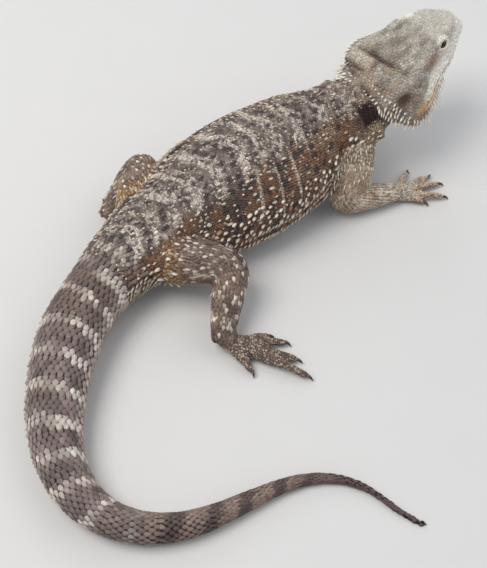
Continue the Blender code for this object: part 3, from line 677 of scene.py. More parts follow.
# back and flank by streaked noise, parted at an angle; over them rows, spots, belly, neck and folds
def trunkColour(p, s, angle):
    turned = np.abs(angle)
    coarse, medium, fine = noise(p, 12, 1), noise(p, 5, 2), noise(p, 1.7, 3)
    arc = np.radians(angle) * 25
    rowS, toRow = rowPlace(s, turned)
    stripe = noise(np.stack([rowS, arc * 0.25, 0 * arc], 1), 4.5, 5)
    streak = noise(np.stack([rowS, arc * 0.32, 0 * arc], 1), 1.5, 12)
    front = 1 - smooth(38, 72, s)
    inRow = 1 - smooth(1.2, 4.4, toRow + (medium - 0.5) * 3)
    flank = layered("rust", ("umber", smooth(0.4, 0.68, stripe * 0.6 + medium * 0.4)),
                    ("tan", smooth(0.5, 0.8, 0.5 * coarse + 0.5 * fine) * (0.4 + 0.3 * front)),
                    (layered("rust", ("tan", smooth(0.35, 0.65, medium))), front * 0.7))
    back = layered("backDark", ("back", smooth(0.3, 0.6, streak * 0.6 + medium * 0.4)),
                   ("backPale", smooth(0.46, 0.74, streak + (inRow - 0.5) * 0.26) * (0.28 + 0.46 * inRow)))
    edge = np.where(angle > 0, 52, 35) + 6 * smooth(60, 110, s)
    dark = spots(rowS, arc, **darkSpots) * (1 - smooth(84, 92, turned)) * (1 - 0.4 * inRow * (turned < 35))
    dark = dark * (1 - 0.6 * smooth(90, 120, s) * smooth(35, 50, turned))
    fleck = inRow * smooth(0.5, 0.7, fine) * (1 - smooth(26, 44, turned)) * smooth(30, 60, s)
    low = smooth(76, 98, turned + (fine - 0.5) * 16)
    colour = layered(back, (flank, smooth(-9, 9, turned - edge + (medium - 0.5) * 24)),
                     ("slate", dark * 0.85), ("cream", fleck * 0.55 * (1 - dark)),
                     (layered("umber", ("orange", smooth(0.4, 0.6, fine))), low * 0.6),
                     ("belly", smooth(108, 124, turned)))
    # the neck with its folds, painted shade in the pocket fold of the nape and a painted shadow under the
    # head's rear edge, the pocket behind the cheek dark as its own skin and as painted shade, and the creases
    # of the flank
    pocket = bell(s, 10.8, 4.8) * between(turned, 34, 46, 70, 84)
    crease = np.clip(foldShape(s, angle), -1, 0.6)
    colour = layered(colour, (layered("tan", ("head", medium)), (1 - smooth(8, 24, s)) * 0.65),
                     ("umber", bell(s, -1.6, 1.6) * between(angle, 14, 26, 60, 75) * 0.8),
                     ("shadeMaroon", bell(s, 5.4, 1.3) * between(turned, 8, 22, 88, 100) * 0.6),
                     ("gular", bell(s, 12, 7.5) * between(turned, 58, 80, 118, 135) * 0.85),
                     ("shadeMaroon", np.clip(pocket * 1.5, 0, 0.96)))
    # on the flank's creases: painted light along the raised folds and painted shade in the grooves
    return layered(colour * 0.88, ("cream", np.clip(crease * 0.9, 0, 0.42) * (s > 50) * (turned < 86)),
                   ("shadeMaroon", np.clip(-crease * 0.7, 0, 0.75) * (s > 50) * (angle > 40)))


# dark with pale rings by a cosine along the tail, browner towards its end
def tailColour(p, s, angle):
    turned = np.abs(angle)
    coarse, medium, fine = noise(p, 12, 1), noise(p, 5, 2), noise(p, 1.6, 3)
    bent = s + 0.03 * angle + (coarse - 0.5) * 4 - tailBands["start"]
    wave = np.cos(2 * np.pi * bent / tailBands["length"])
    ring = smooth(0.42, 0.86, wave + (fine - 0.5) * 0.9 + (medium - 0.5) * 0.7)
    ring = ring * (0.35 + 0.65 * smooth(4, 24, turned))
    ring = ring * np.where(angle > 0, 0.5 + 0.5 * smooth(35, 65, turned), 1)
    end = layered("tailTan", ("tailSpot", smooth(-0.1, 0.5, wave + (fine - 0.5) * 0.8)))
    return layered("tailDark", ("tailMid", smooth(0.3, 0.75, medium * 0.6 + fine * 0.4)),
                   (layered("limbDark", ("limb", medium)), 0.8 * (1 - smooth(12, 58, s))),
                   ("tailPale", ring * tailBands["pale"]), (end, smooth(112, 150, s)),
                   ("orange", smooth(70, 95, turned) * (angle < 0) * 0.45),
                   ("belly", smooth(100, 125, turned) * 0.8), ("tailTip", smooth(185, 225, s)))


# grey, paler towards snout and lips and streaked over the crown; over it the parts of the face
def headColour(p):
    f, l, u, angle, lip, toNostril = facePlace(p)
    medium, fine = noise(p, 4.5, 9), noise(p, 1.5, 3)
    streak = noise(np.stack([f * 0.35, l, u], 1), 2.6, 6)
    dim = smooth(0.42, 0.64, streak * 0.6 + (1 - medium) * 0.2 + fine * 0.2) * (1 - smooth(-8, 8, f))
    where = locate(p)
    behind, turned = where["s"] - sNape, where["angle"]
    # painted shade in the grooves of the nape's folds
    crease = bell(behind, -10.6, 1.2) * between(turned, -32, -20, 40, 52)
    crease = np.maximum(crease, bell(behind, -1.6, 1.4) * between(turned, 14, 26, 60, 75))
    # crown and temple, brow, behind the eye, lids, cheek and lips, painted shade in the folds of the nape,
    # the mouth's corner, throat
    colour = layered("head", ("headPale", smooth(0.4, 0.7, fine * 0.6 + medium * 0.4) * 0.5),
                     ("headPale", smooth(-14, 8, f) * 0.6), ("headDark", dim * 0.7),
                     ("tan", smooth(-14, -32, f) * smooth(0.35, 0.65, medium) * 0.6),
                     ("headPale", bell(angle, 52, 7) * 0.45 + smooth(8, 18, f) * 0.4),
                     ("brow", bell(angle, 60, 5) * bell(f, -8, 6) * 0.6),
                     ("pink", bell(f, -9, 3) * bell(angle, 78, 9) * 0.6),
                     ("lip", (1 - smooth(5.4, 6.4, eyeGap(p))) * 0.75),
                     ("lip", smooth(-22, -14, f) * smooth(70, 86, angle) * 0.55),
                     ("lip", smooth(6.0, 3.5, lip) * smooth(-27, -19, f) * 0.95),
                     ("lip", bell(angle, 80, 7) * bell(f, -14, 5) * 0.5),
                     ("cream", bell(behind, -5.8, 2.6) * between(turned, 2, 20, 58, 70) * 0.6),
                     ("umber", crease * 0.75),
                     ("rictus", bell(lip, -1.0, 2.6) * between(f, -33, -28, -17, -10) * 0.8),
                     ("lip", smooth(-12, -15, u) * 0.55))
    # round each ear, 1 mm above its middle, a soft brown patch of painted shade: the hollow the ear lies in
    for middle in ears.values():
        toEar = np.linalg.norm(p - (middle + faceUp), axis=1)
        colour = layered(colour, ("ear", bell(toEar, 0, 6.0) * 0.75))
    # painted shade in the nostrils and along the slit between the lips
    mouth = bell(lip, 0, 0.3) * smooth(-24, -19, f) * 0.8
    return layered(colour, ("shadeMaroon", np.maximum(bell(toNostril, 0, 0.7), mouth)))


# leg, arm, hand or foot in its own tones, by noise and by the place along the limb
def limbColour(p, place):
    s, turned, kind = place["s"], np.abs(place["angle"]), place["kind"][:, None]
    coarse, medium, fine = noise(p, 12, 1), noise(p, 5, 2), noise(p, 1.6, 3)
    bent = s + 0.045 * turned + (medium - 0.5) * 4
    band = np.maximum(bell(bent, 33, 1.2), bell(bent, 45, 1.2)) * smooth(0.25, 0.5, fine)
    leg = layered("limb", ("limbDark", smooth(0.4, 0.7, medium * 0.6 + fine * 0.4)),
                  ("limbPale", np.maximum(band * 0.9, smooth(0.66, 0.8, fine) * 0.6)),
                  ("ochre", smooth(8, -4, s + 0.08 * (90 - turned)) * 0.5),
                  ("belly", smooth(95, 130, turned) * 0.8))
    arm = layered("hand", ("tan", smooth(0.35, 0.75, medium * 0.5 + coarse * 0.5) * 0.8),
                  ("limb", smooth(0.5, 0.75, fine) * 0.5), ("gular", smooth(12, 0, s) * 0.4))
    isHand = np.array([n.startswith("hand") for n in lineList])[place["line"], None]
    outer = np.array([n[-1] in "345" for n in lineList])[place["line"]]
    # brown on the sides and undersides of the digits, most on the outer three: partly their own colour,
    # partly painted shade on their shaded sides
    hand = layered("hand", ("digit", smooth(7, 12, s) * (0.25 + 0.65 * outer) * smooth(20, 60, turned)))
    foot = layered("foot", ("limb", smooth(0.4, 0.7, fine * 0.5 + medium * 0.5)))
    feet = layered(np.where(isHand, hand, foot), ("limb", smooth(0.58, 0.8, fine) * 0.5))
    return np.select([kind == "arm", kind == "leg"], [arm, leg], feet)


# the trunk's colour, passing by soft steps into the tail's and the head's, and the limbs' on limbs
def markingsAndShade(p, place):
    tailS, blotch = place["s"] - sTail, noise(p, 3, 4) - 0.5
    colour = layered(trunkColour(p, place["s"] - sNape, place["angle"]),
                     (tailColour(p, tailS, place["angle"]), smooth(-8, 8, tailS + blotch * 12)),
                     (headColour(p), smooth(-44, -38, faceCoordinates(p)[0] + blotch * 4)))
    return np.where(place["kind"][:, None] == "body", colour, limbColour(p, place))


# materials

# wraps a socket, so that sums and products of sockets add Math nodes
class Wire:
    def __init__(self, shader, socket):
        self.shader = shader
        self.socket = socket

    def __add__(self, other):
        return self.shader.node("ShaderNodeMath", {"operation": "ADD"}, {0: self, 1: other})

    def __mul__(self, other):
        return self.shader.node("ShaderNodeMath", {"operation": "MULTIPLY"}, {0: self, 1: other})

    __radd__ = __add__
    __rmul__ = __mul__


class Shader:
    def __init__(self, name):
        self.material = bpy.data.materials.new(name)
        self.material.use_nodes = True
        self.tree = self.material.node_tree
        self.surface = self.tree.nodes["Principled BSDF"]

    # adds a node of a type: its settings first, then the values or links of its sockets
    def node(self, kind, settings=None, values=None, output=0):
        made = self.tree.nodes.new(kind)
        for key, value in (settings or {}).items():
            setattr(made, key, value)
        for key, value in (values or {}).items():
            self.put(made.inputs[key], value)
        return Wire(self, made.outputs[output])

    def put(self, socket, value):
        if isinstance(value, Wire):
            self.tree.links.new(value.socket, socket)
        else:
            socket.default_value = value

    def set(self, **values):
        for key, value in values.items():
            self.put(self.surface.inputs[key.replace("_", " ")], value)

    def noise(self, scale):
        spot = self.node("ShaderNodeTexCoord", output=3)
        values = {"Vector": spot, "Scale": scale, "Detail": 2.0, "Roughness": 0.5}
        return self.node("ShaderNodeTexNoise", None, values)

    def blend(self, share, a, b, mode="MIX"):
        settings = {"data_type": "RGBA", "blend_type": mode}
        return self.node("ShaderNodeMix", settings, {0: share, 6: a, 7: b}, output=2)

    # two plain colours, from a to b by a share
    def between(self, share, a, b):
        return self.blend(share, (*a, 1), (*b, 1))


# a plain material that passes from one colour to another by a noise
def mottled(name, a, b, scale, roughness):
    shader = Shader(name)
    shader.set(Base_Color=shader.between(shader.noise(scale), a, b), Roughness=roughness)
    return shader.material


# hide: the colour carried by the mesh, broken up by fine noise, with a dull horny surface
def hideMaterial(name, roughness, dark, light, grain):
    shader = Shader(name)
    own = shader.node("ShaderNodeAttribute", {"attribute_name": "tint"})
    fine = shader.noise(grain)
    speckle = shader.node("ShaderNodeMapRange", None, {0: fine, 1: 0.3, 2: 0.7, 3: dark, 4: light})
    grey = shader.node("ShaderNodeCombineColor", None, {0: speckle, 1: speckle, 2: speckle})
    bump = shader.node("ShaderNodeBump", None, {"Height": fine, "Distance": hideBump, "Strength": 1.0})
    shader.set(Base_Color=shader.blend(1.0, own, grey, "MULTIPLY"), Normal=bump, Specular_IOR_Level=0.35,
               Roughness=fine * 0.25 + (roughness - 0.12))
    return shader.material


hideBump = 0.00012  # metres
hides = {
    # name: roughness, darkest and lightest speckle, noise cells to a metre
    "horny_scales": (0.62, 0.78, 1.18, 900.0),
    "skin_between_scales": (0.75, 0.78, 1.18, 1400.0),
    "horny_spines": (0.5, 0.9, 1.08, 900.0),
}
hideMaterials = {name: hideMaterial(name, *form) for name, form in hides.items()}

# the skin between the scales is darker than they are, partly its own tone and partly painted shade in the
# gaps; less so on the head
skinShade = 0.5 + 0.32 * smooth(-46, -40, faceCoordinates(skinPoints)[0]) * (place["kind"] == "body")
skin = addPiece("skin", skinPoints, skinTris, hideMaterials["skin_between_scales"])
setAttribute(skin, "tint", markingsAndShade(skinPoints, place) * skinShade[:, None])
lighter = skin.modifiers.new("lighter", "DECIMATE")
lighter.ratio = min(1.0, skinForm["triangles"] / len(skinTris))
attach(skin, "root")
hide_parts(*fleshNames)
skinTree = BVHTree.FromPolygons((skinPoints * mm).tolist(), skinTris.tolist())


# scales

# Closed low shapes, 1 across: x along the lie of the coat, y across it, z out of the skin, and how much each
# point takes of the tip's colour. Rings (radius, height, shift along x, narrowing) run from the root up to a
# last point: x = radius cos t + shift + point radius cos(t)^4 in front, y = radius sin t (1 - waist cos t)
# (1 - narrowing).
def lowDome(count, rings, apex, shares, waist=0.0, point=0.0):
    turn = np.linspace(0, 2 * np.pi, count, endpoint=False)
    c, n = np.cos(turn), np.sin(turn)
    p = [np.stack([c * radius + shift + point * radius * np.maximum(c, 0) ** 4,
                   n * radius * (1 - waist * c) * (1 - flat), np.full(count, height)], 1)
         for radius, height, shift, flat in rings]
    p = np.concatenate(p + [np.array([[apex[0], 0, apex[1]]])])
    k, top = np.arange(count), (len(rings) - 1) * count
    tipFan = np.stack([top + k, top + np.roll(k, -1), np.full(count, top + count)], 1)
    rootFan = np.stack([np.zeros(count - 2, int), k[2:], k[1:-1]], 1)
    faces = np.concatenate([ringCells(len(rings), count)[:, ::-1], tipFan, rootFan])
    return p, faces, np.concatenate([np.repeat(shares, count), [1.0]])


shapes = {
    "granule": lowDome(6, ((0.54, -0.6, 0, 0), (0.44, 0.55, 0.03, 0)), (0.08, 1.0), (0, 0.75)),
    "plate": lowDome(7, ((0.56, -1.2, 0, 0), (0.50, 0.6, 0.02, 0)), (0.0, 1.0), (0, 0.7)),
    "keeled": lowDome(8, ((0.54, -0.7, 0, 0), (0.53, 0.22, 0.02, 0), (0.36, 0.62, 0.10, 0.35)), (0.50, 1.0),
                      (0, 0.1, 0.9), waist=0.2, point=0.32),
    "ringPlate": lowDome(6, ((0.57, -0.7, 0, 0), (0.57, 0.20, 0.0, 0), (0.42, 0.66, 0.02, 0.06)), (0.20, 1.0),
                         (0, 0.0, 0.9), waist=0.18, point=0.34),
    "cone": lowDome(8, ((0.5, -0.6, 0, 0), (0.46, 0.30, 0.04, 0), (0.28, 0.78, 0.12, 0.1)), (0.30, 1.0),
                    (0, 0.6, 1)),
    "spine": lowDome(6, ((0.5, -0.35, 0, 0), (0.36, 0.22, 0.04, 0), (0.20, 0.60, 0.12, 0)), (0.22, 1.0),
                     (0, 0.45, 1)),
}
pieceTriangles = {"skin": len(skinTris)}
# random turn in degrees and spread of sizes, lowest height in mm, and a scale's share of the unwrap
coatForm = {"turn": 7, "spread": 0.1, "lowest": 0.02, "patch": 0.003}


# root places on an unwrap of the skin: along the line, and round it, with one strip for each line in use
def unwrap(spot):
    used = np.unique(spot["line"])
    strip = np.searchsorted(used, spot["line"])
    length = np.array([lines[lineList[i]]["s"][-1] for i in used])[strip]
    u = np.clip(spot["s"] / length, 0, 1) * 0.98 + 0.01
    v = (strip + np.clip(spot["angle"] / 360 + 0.5, 0, 1) * 0.96 + 0.02) / len(used)
    return np.stack([u, v], 1)


# One copy of a shape at each root: p = root + along x + across y + axis z, with x leaning by the height to
# the 1.5. size holds (length, width, height) in millimetres.
# base is the colour at a scale's root and tip at its top; every caller gives a darker base, partly the skin's
# own darker tone and partly painted shade where the scale meets the skin
def coat(name, shape, roots, axis, spot, size, base, tip, material="horny_scales", lean=0.0):
    form, faces, share = shapes[shape]
    n = unit(axis)
    lie = spot.get("lie", spot["ahead"])
    along = unit(lie - n * dot(lie, n)[:, None])
    turn = np.radians(rng.normal(0, coatForm["turn"], len(roots)))[:, None]
    across = np.cross(n, along)
    along, across = along * np.cos(turn) + across * np.sin(turn), across * np.cos(turn) - along * np.sin(turn)
    x, y, z = form.T
    x = x * size[:, :1] + np.reshape(lean, (-1, 1)) * np.maximum(z, 0) ** 1.5 * size[:, 2:]
    p = (roots[:, None] + along[:, None] * x[..., None] + across[:, None] * (y * size[:, 1:2])[..., None]
         + n[:, None] * (z * size[:, 2:])[..., None])
    p[..., 2] = np.maximum(p[..., 2], coatForm["lowest"])
    allFaces = faces + (np.arange(len(roots)) * len(form))[:, None, None]
    piece = addPiece(name, p.reshape(-1, 3), allFaces.reshape(-1, 3), hideMaterials[material])
    setAttribute(piece, "tint", mixed(base[:, None], tip[:, None], share).reshape(-1, 3))
    setUv(piece, (unwrap(spot)[:, None] + form[:, :2] * coatForm["patch"]).reshape(-1, 2))
    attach(piece, "root")
    pieceTriangles[name] = len(roots) * len(faces)


# the places that pass a mask, in arrays and in dictionaries of arrays alike
def chosen(mask, *parts):
    return [{key: value[mask] for key, value in part.items()} if isinstance(part, dict) else part[mask]
            for part in parts]


# nearest skin to each point, with the skin's smooth normal and the place on the body
def onSkin(p):
    hits = [skinTree.find_nearest(Vector(q) * mm) for q in p]
    root = np.array([h[0] for h in hits]) / mm
    tri = skinTris[np.array([h[2] for h in hits])]
    weight = 1 / (np.linalg.norm(skinPoints[tri] - root[:, None], axis=2) + 0.05)
    normal = unit((skinNormals[tri] * weight[..., None]).sum(1))
    return root, normal, locate(root)


# rays cast in towards a centre line from places (s, angle) round it: what they hit, and which rays hit it
def around(name, s, angle):
    line = lines[name]
    centre, ahead, up = (np.stack([np.interp(s, line["s"], line[key][:, i]) for i in range(3)], 1)
                         for key in ("centre", "ahead", "up"))
    ahead, up = unit(ahead), unit(up)
    radius = np.interp(s, line["s"], line["radius"])
    turn = np.radians(angle)[:, None]
    out = np.cos(turn) * up + np.sin(turn) * np.cross(ahead, up)
    start = centre + out * (radius * 2.2 + 3)[:, None]
    hits = [skinTree.ray_cast(Vector(q) * mm, Vector(-d))[0] for q, d in zip(start, out)]
    good = [i for i, (h, c, r) in enumerate(zip(hits, centre, radius))
            if h is not None and (h - Vector(c) * mm).length < (r * 1.8 + 3) * mm]
    return np.array([hits[i] for i in good]).reshape(-1, 3) / mm, np.array(good, int)


# rings of places round a line: pitch along it and width round it are curves over s; every other ring is
# shifted by half a scale, and slant sets a place back by its angle from the top
def rings(name, pitch, width, start, end, slant=0.0, jitter=0.0):
    line = lines[name]
    ringS, ringAngle, s, ring = [], [], start, 0
    while s < end:
        radius = np.interp(s, line["s"], line["radius"])
        count = max(6, int(round(2 * np.pi * radius / curve(s, width))))
        angle = (np.arange(count) + 0.5 * (ring % 2)) * 360 / count - 180
        ringS.append(np.full(count, s) + slant * np.abs(angle))
        ringAngle.append(angle)
        s += curve(s, pitch)
        ring += 1
    ringS, ringAngle = np.concatenate(ringS), np.concatenate(ringAngle)
    ringS = ringS + rng.normal(0, jitter, len(ringS))
    p, n, spot = onSkin(around(name, ringS, ringAngle)[0])
    return chosen(spot["line"] == lineList.index(name), p, n, spot)


# random places on the skin, evenly spread over its area
def sprinkle(count):
    area = np.linalg.norm(areaNormals(skinPoints, skinTris), axis=1)
    area[inSocket[skinTris].any(1)] = 0
    pick = rng.choice(len(skinTris), count, p=area / area.sum())
    u, v = rng.random((2, count))
    swap = u + v > 1
    u, v = np.where(swap, 1 - u, u), np.where(swap, 1 - v, v)
    w = np.stack([1 - u - v, u, v], 1)[..., None]
    tri = skinTris[pick]
    p = (skinPoints[tri] * w).sum(1)
    return p, unit((skinNormals[tri] * w).sum(1)), locate(p)


# a tree to find the nearest of some places
def kdTree(p):
    tree = KDTree(len(p))
    for i, q in enumerate(p):
        tree.insert(q, i)
    tree.balance()
    return tree


# keeps places in order, dropping each one closer to a kept place than the mean of their two spacings
def spaced(p, spacing):
    tree = kdTree(p)
    free = np.ones(len(p), bool)
    kept = []
    for i in range(len(p)):
        if free[i]:
            kept.append(i)
            for _, j, gap in tree.find_range(p[i], spacing[i] * 1.2):
                if gap < (spacing[i] + spacing[j]) * 0.5:
                    free[j] = False
    return np.array(kept, int)


# places that carry a scale already, with their widths
takenPlaces, takenWidths = [], []


# marks places as carrying a scale of a width
def take(p, width):
    takenPlaces.append(p)
    takenWidths.append(np.broadcast_to(width, len(p)))


# which places are farther from the nearest taken place than a share of its width
def untaken(p, share):
    tree, width = kdTree(np.concatenate(takenPlaces)), np.concatenate(takenWidths)
    return np.array([gap > width[i] * share for _, i, gap in map(tree.find, p)])


# each colour made lighter or darker at random
def varied(colour, amount):
    return np.clip(colour * (1 + amount * rng.standard_normal((len(colour), 1))), 0.002, 0.95)


# (length, width, height) from a width, its ratios and a random change
def sizes(wide, ratio, tall):
    change = 1 + coatForm["spread"] * rng.standard_normal(len(wide))
    return np.stack([wide * ratio * change, wide * change, wide * tall * (1 + 0.5 * (change - 1))], 1)


# large scales come first, and the small ones are set between them


# A row of spines at given places: each stands between the skin's normal and the way back along the body by
# tilt, and outwards from the head by away.
def spineRow(name, p, height, base, tilt, tone, foot, away=0.0):
    p, n, spot = onSkin(p)
    height = np.broadcast_to(height, len(p)) * (1 + 0.14 * rng.standard_normal(len(p)))
    base = np.broadcast_to(base, len(p))
    tip = varied(np.broadcast_to(tones[tone], (len(p), 3)), 0.07)
    # the root takes the foot's tone and is darkened, partly painted shade where the spine meets the skin
    root = varied(layered(markingsAndShade(p, spot), (foot, 0.4)), 0.1) * 0.6
    axis = n + spot["ahead"] * tilt + away
    size = np.stack([base * 1.1, base, height], 1)
    coat(name, "spine", p, axis, spot, size, root, tip, "horny_spines", lean=0.15)
    take(p, base * 0.95)


# places along a path in face axes, mirrored to both sides
def facePath(knots, gap):
    k = np.array(knots, float)
    along = lengthAlong(k)
    t = np.arange(0, along[-1], gap)
    t = t + rng.normal(0, 0.15, len(t))
    f, l, u = (np.interp(t, along, k[:, i])[:, None] for i in range(3))
    return np.concatenate([facePoint(f, l * sign, u) for sign in (1, -1)])


beard = {
    # name: path (ahead, side, up), gap, height, base
    "jaw_angle": (((-43, 14, 7), (-42, 17, 1), (-39, 20.5, -5), (-35, 24, -10), (-30, 25, -13)),
                  2.0, 3.4, 1.7),
    "jaw_angle_2": (((-41, 16, 6), (-39, 19, 0), (-36, 22, -5), (-31, 24.5, -9.5)), 2.1, 2.4, 1.5),
    "beard_edge": (((-33, 23, -13), (-27, 23, -14.5), (-20, 20, -14.5), (-13, 16.5, -14), (-6, 13, -13.5)),
                   1.9, 4.2, 1.6),
    "beard_edge_2": (((-34, 21, -16), (-27, 21, -17), (-20, 18, -17), (-12, 14, -16), (-4, 11, -15)),
                     2.0, 3.5, 1.5),
    "beard_edge_3": (((-31, 24, -11), (-24, 22.5, -12), (-17, 19.5, -12), (-10, 16, -12)), 1.9, 2.8, 1.3),
}
for name, (path, gap, height, base) in beard.items():
    p = facePath(path, gap)
    outside = np.sign(faceCoordinates(p)[1])[:, None]
    away = faceLeft * outside * 0.7 - faceUp * 0.25
    spineRow("spines_" + name, p, height, base, 0.55, "lip", "rictus", away)

# The head's rear edge: rows (set back, turned on) from the nape down to the angle of the jaw, taller towards
# the side. Curves are over the angle from the top; edge is the distance from the nape.
rearEdge = {"rows": ((0.0, 0.0), (-2.2, 3.5)), "angles": (16, 92, 7.0), "left": 1.25, "right": 0.85,
            "edge": ((16, 4.5), (50, 4.6), (92, 0.5)),
            "height": ((16, 1.3), (38, 2.2), (60, 2.8), (92, 3.3))}
for row, (back, offset) in enumerate(rearEdge["rows"]):
    low, high, gap = rearEdge["angles"]
    turned = np.arange(low + offset, high, gap)
    turned = np.concatenate([turned, -turned])
    edge = curve(np.abs(turned), rearEdge["edge"]) + back + rng.normal(0, 0.25, len(turned))
    p, hit = around("spine", edge + sNape, turned)
    turned = turned[hit]
    height = curve(np.abs(turned), rearEdge["height"])
    height = height * np.where(turned > 0, rearEdge["left"], rearEdge["right"])
    base = 1.2 + height * 0.12
    spineRow(f"spines_rear_edge_{row + 1}", p, height * (1 - 0.2 * row), base, 0.75, "lip", "head")

# loose rows (set back, turned on) behind the left temple, which stand out against the floor: curves over s
temple = {"rows": ((0.0, 0.0), (1.2, 6.0), (2.2, -5.0), (0.6, 12.0)), "from": -19.0, "gap": 2.0, "count": 13,
          "angle": ((-20, 60), (-12, 56), (-4, 60), (8, 74)),
          "height": ((-20, 1.6), (-10, 3.2), (-3, 4.4), (8, 3.6))}
for row, (back, offset) in enumerate(temple["rows"]):
    s = temple["from"] + temple["gap"] * np.arange(temple["count"]) + back
    s = s + rng.normal(0, 0.3, len(s))
    turned = curve(s, temple["angle"]) + offset + rng.normal(0, 2, len(s))
    p, hit = around("spine", s + sNape, turned)
    height = curve(s[hit], temple["height"])
    spineRow(f"spines_temple_{row + 1}", p, height, 0.8 + height * 0.12, 0.55, "lip", "head")


# places in bands round the spine line: from s to s, angle from to, gap along each way, on sides + or -
def bandPlaces(start, end, low, high, gap, signs):
    s, angle = [], []
    for row, a in enumerate(np.arange(low, high, np.degrees(gap / 20.0))):
        along = np.arange(start + gap * 0.5 * (row % 2), end, gap)
        s.append(along + rng.normal(0, 0.12, len(along)))
        angle.append(np.full(len(along), a) + rng.normal(0, 0.4, len(along)))
    s, angle = np.concatenate(s) + sNape, np.concatenate(angle)
    return np.concatenate([around("spine", s, angle * sign)[0] for sign in signs])


bodyRows = {
    # name: (from, to, angles, gap, sides), height, base, tilt
    "neck_side": ((6, 22, 88, 112, 3.0, (1, -1)), 2.0, 1.5, 0.9),
    "fringe": ((22, 150, 94, 108, 2.35, (1, -1)), 2.6, 1.35, 1.0),
    "flank_row": ((96, 150, 60, 68, 4.4, (1, -1)), 1.5, 1.4, 0.9),
    "far_ridge": ((14, 150, 44, 60, 3.3, (1,)), 1.9, 1.2, 0.9),
    "hip": ((146, 160, 76, 96, 3.0, (1, -1)), 2.4, 1.7, 0.9),
}
for name, (band, height, base, tilt) in bodyRows.items():
    spineRow("spines_" + name, bandPlaces(*band), height, base, tilt, "cream", "umber")
print("spines:", len(pieceTriangles) - 1, "pieces")

# cream oval scales in slanting rows across the flanks
creamRows = {"first": (26, 32), "last": 86, "gap": 6.6, "kept": 0.86, "width": (1.3, 1.75)}
s, angle = [], []
for at in paleRows["at"]:
    for sign in (1, -1):
        a = np.arange(rng.uniform(*creamRows["first"]), creamRows["last"], creamRows["gap"])
        a = a[rng.random(len(a)) < creamRows["kept"]]
        s.append(at + paleRows["slant"] * a + rng.normal(0, 0.8, len(a)))
        angle.append(sign * (a + rng.normal(0, 1.0, len(a))))
s, angle = np.concatenate(s), np.concatenate(angle)
keep = rng.random(len(s)) < 0.15 + 0.85 * smooth(48, 70, s)
p, n, spot = onSkin(around("spine", s[keep] + sNape, angle[keep])[0])
p, n, spot = chosen(spot["kind"] == "body", p, n, spot)
narrow, broad = creamRows["width"]
wide = narrow + (broad - narrow) * rng.random(len(p))
tip = layered(markingsAndShade(p, spot), ("cream", 0.55 + 0.4 * rng.random(len(p))))
# a darker root, partly painted shade where the scale meets the skin
coat("scales_cream", "keeled", p, n, spot, sizes(wide, 1.5, 0.3), varied(markingsAndShade(p, spot), 0.08) * 0.4,
     varied(tip, 0.1), lean=0.25)
take(p, wide * 1.1)

# spiny scales on the low flank, small pale ones on the back's rows, and strays: their spacings and widths
spinyForm = {"low": 2.6, "row": 2.2, "stray": 4.4, "low width": 1.6, "width": 0.95, "orange": 0.15}
p, n, spot = sprinkle(16000)
turned, s = np.abs(spot["angle"]), spot["s"] - sNape
trunk = (spot["kind"] == "body") & (s > 18) & (s < 156)
lowFlank = trunk & (turned > 70 - 0.06 * (s - 60)) & (turned < 93)
backRow = trunk & (turned < 34) & (rowPlace(s, turned)[1] < 2.4) & (s > 34)
stray = trunk & (turned < 70) & (rng.random(len(p)) < 0.03 + 0.05 * smooth(60, 90, s))
p, n, spot, low, inRow = chosen((lowFlank | backRow | stray) & untaken(p, 0.9), p, n, spot, lowFlank, backRow)
spacing = np.where(low, spinyForm["low"], np.where(inRow, spinyForm["row"], spinyForm["stray"]))
p, n, spot, low = chosen(spaced(p, spacing), p, n, spot, low)
wide = np.where(low, spinyForm["low width"], spinyForm["width"]) * (1 + 0.12 * rng.standard_normal(len(p)))
warm = low & (rng.random(len(p)) < spinyForm["orange"])
tone = np.where(warm[:, None], tones["orange"], tones["cream"])
tone = layered(tone, ("backPale", np.where(low, 0.0, 0.5)))
size = sizes(wide, 1.5, 0.7)
size[:, 2] *= np.where(low, 1.35, 1.0)
# a darker root, partly painted shade where the scale meets the skin
coat("scales_spiny", "cone", p, n, spot, size, varied(markingsAndShade(p, spot), 0.08) * 0.5, varied(tone, 0.1),
     lean=0.6)
take(p, wide * 1.1)

# cream scales on the thighs
thighForm = {"spacing": (3.1, 4.7), "width": (1.6, 2.1), "pale": 0.6, "less": 0.35}
p, n, spot = sprinkle(9000)
thigh = (spot["kind"] == "leg") & (spot["s"] < 26) & (np.abs(spot["angle"]) < 110)
p, n, spot = chosen(thigh, p, n, spot)
near, far = thighForm["spacing"]
p, n, spot = chosen(spaced(p, near + (far - near) * rng.random(len(p))), p, n, spot)
narrow, broad = thighForm["width"]
wide = narrow + (broad - narrow) * rng.random(len(p))
pale = np.where(rng.random(len(p)) < thighForm["pale"], 1.0, thighForm["less"])
# a darker root, partly painted shade where the scale meets the skin
coat("scales_thigh_cream", "keeled", p, n, spot, sizes(wide, 1.4, 0.3),
     varied(markingsAndShade(p, spot), 0.08) * 0.35, varied(layered("limb", ("limbPale", pale)), 0.1), lean=0.3)
take(p, wide * 1.1)
print("large scales:", sum(len(places) for places in takenPlaces))

# scales along the mouth: name: height over the line between the lips, gap, width across
lips = {"lips_upper": (1.05, 1.7, 1.45), "lips_lower": (-1.15, 1.8, 1.35)}
lipForm = {"rays": 700, "turn": 128, "far": 45, "middle": -8.0, "last": -23, "thick": 0.35}


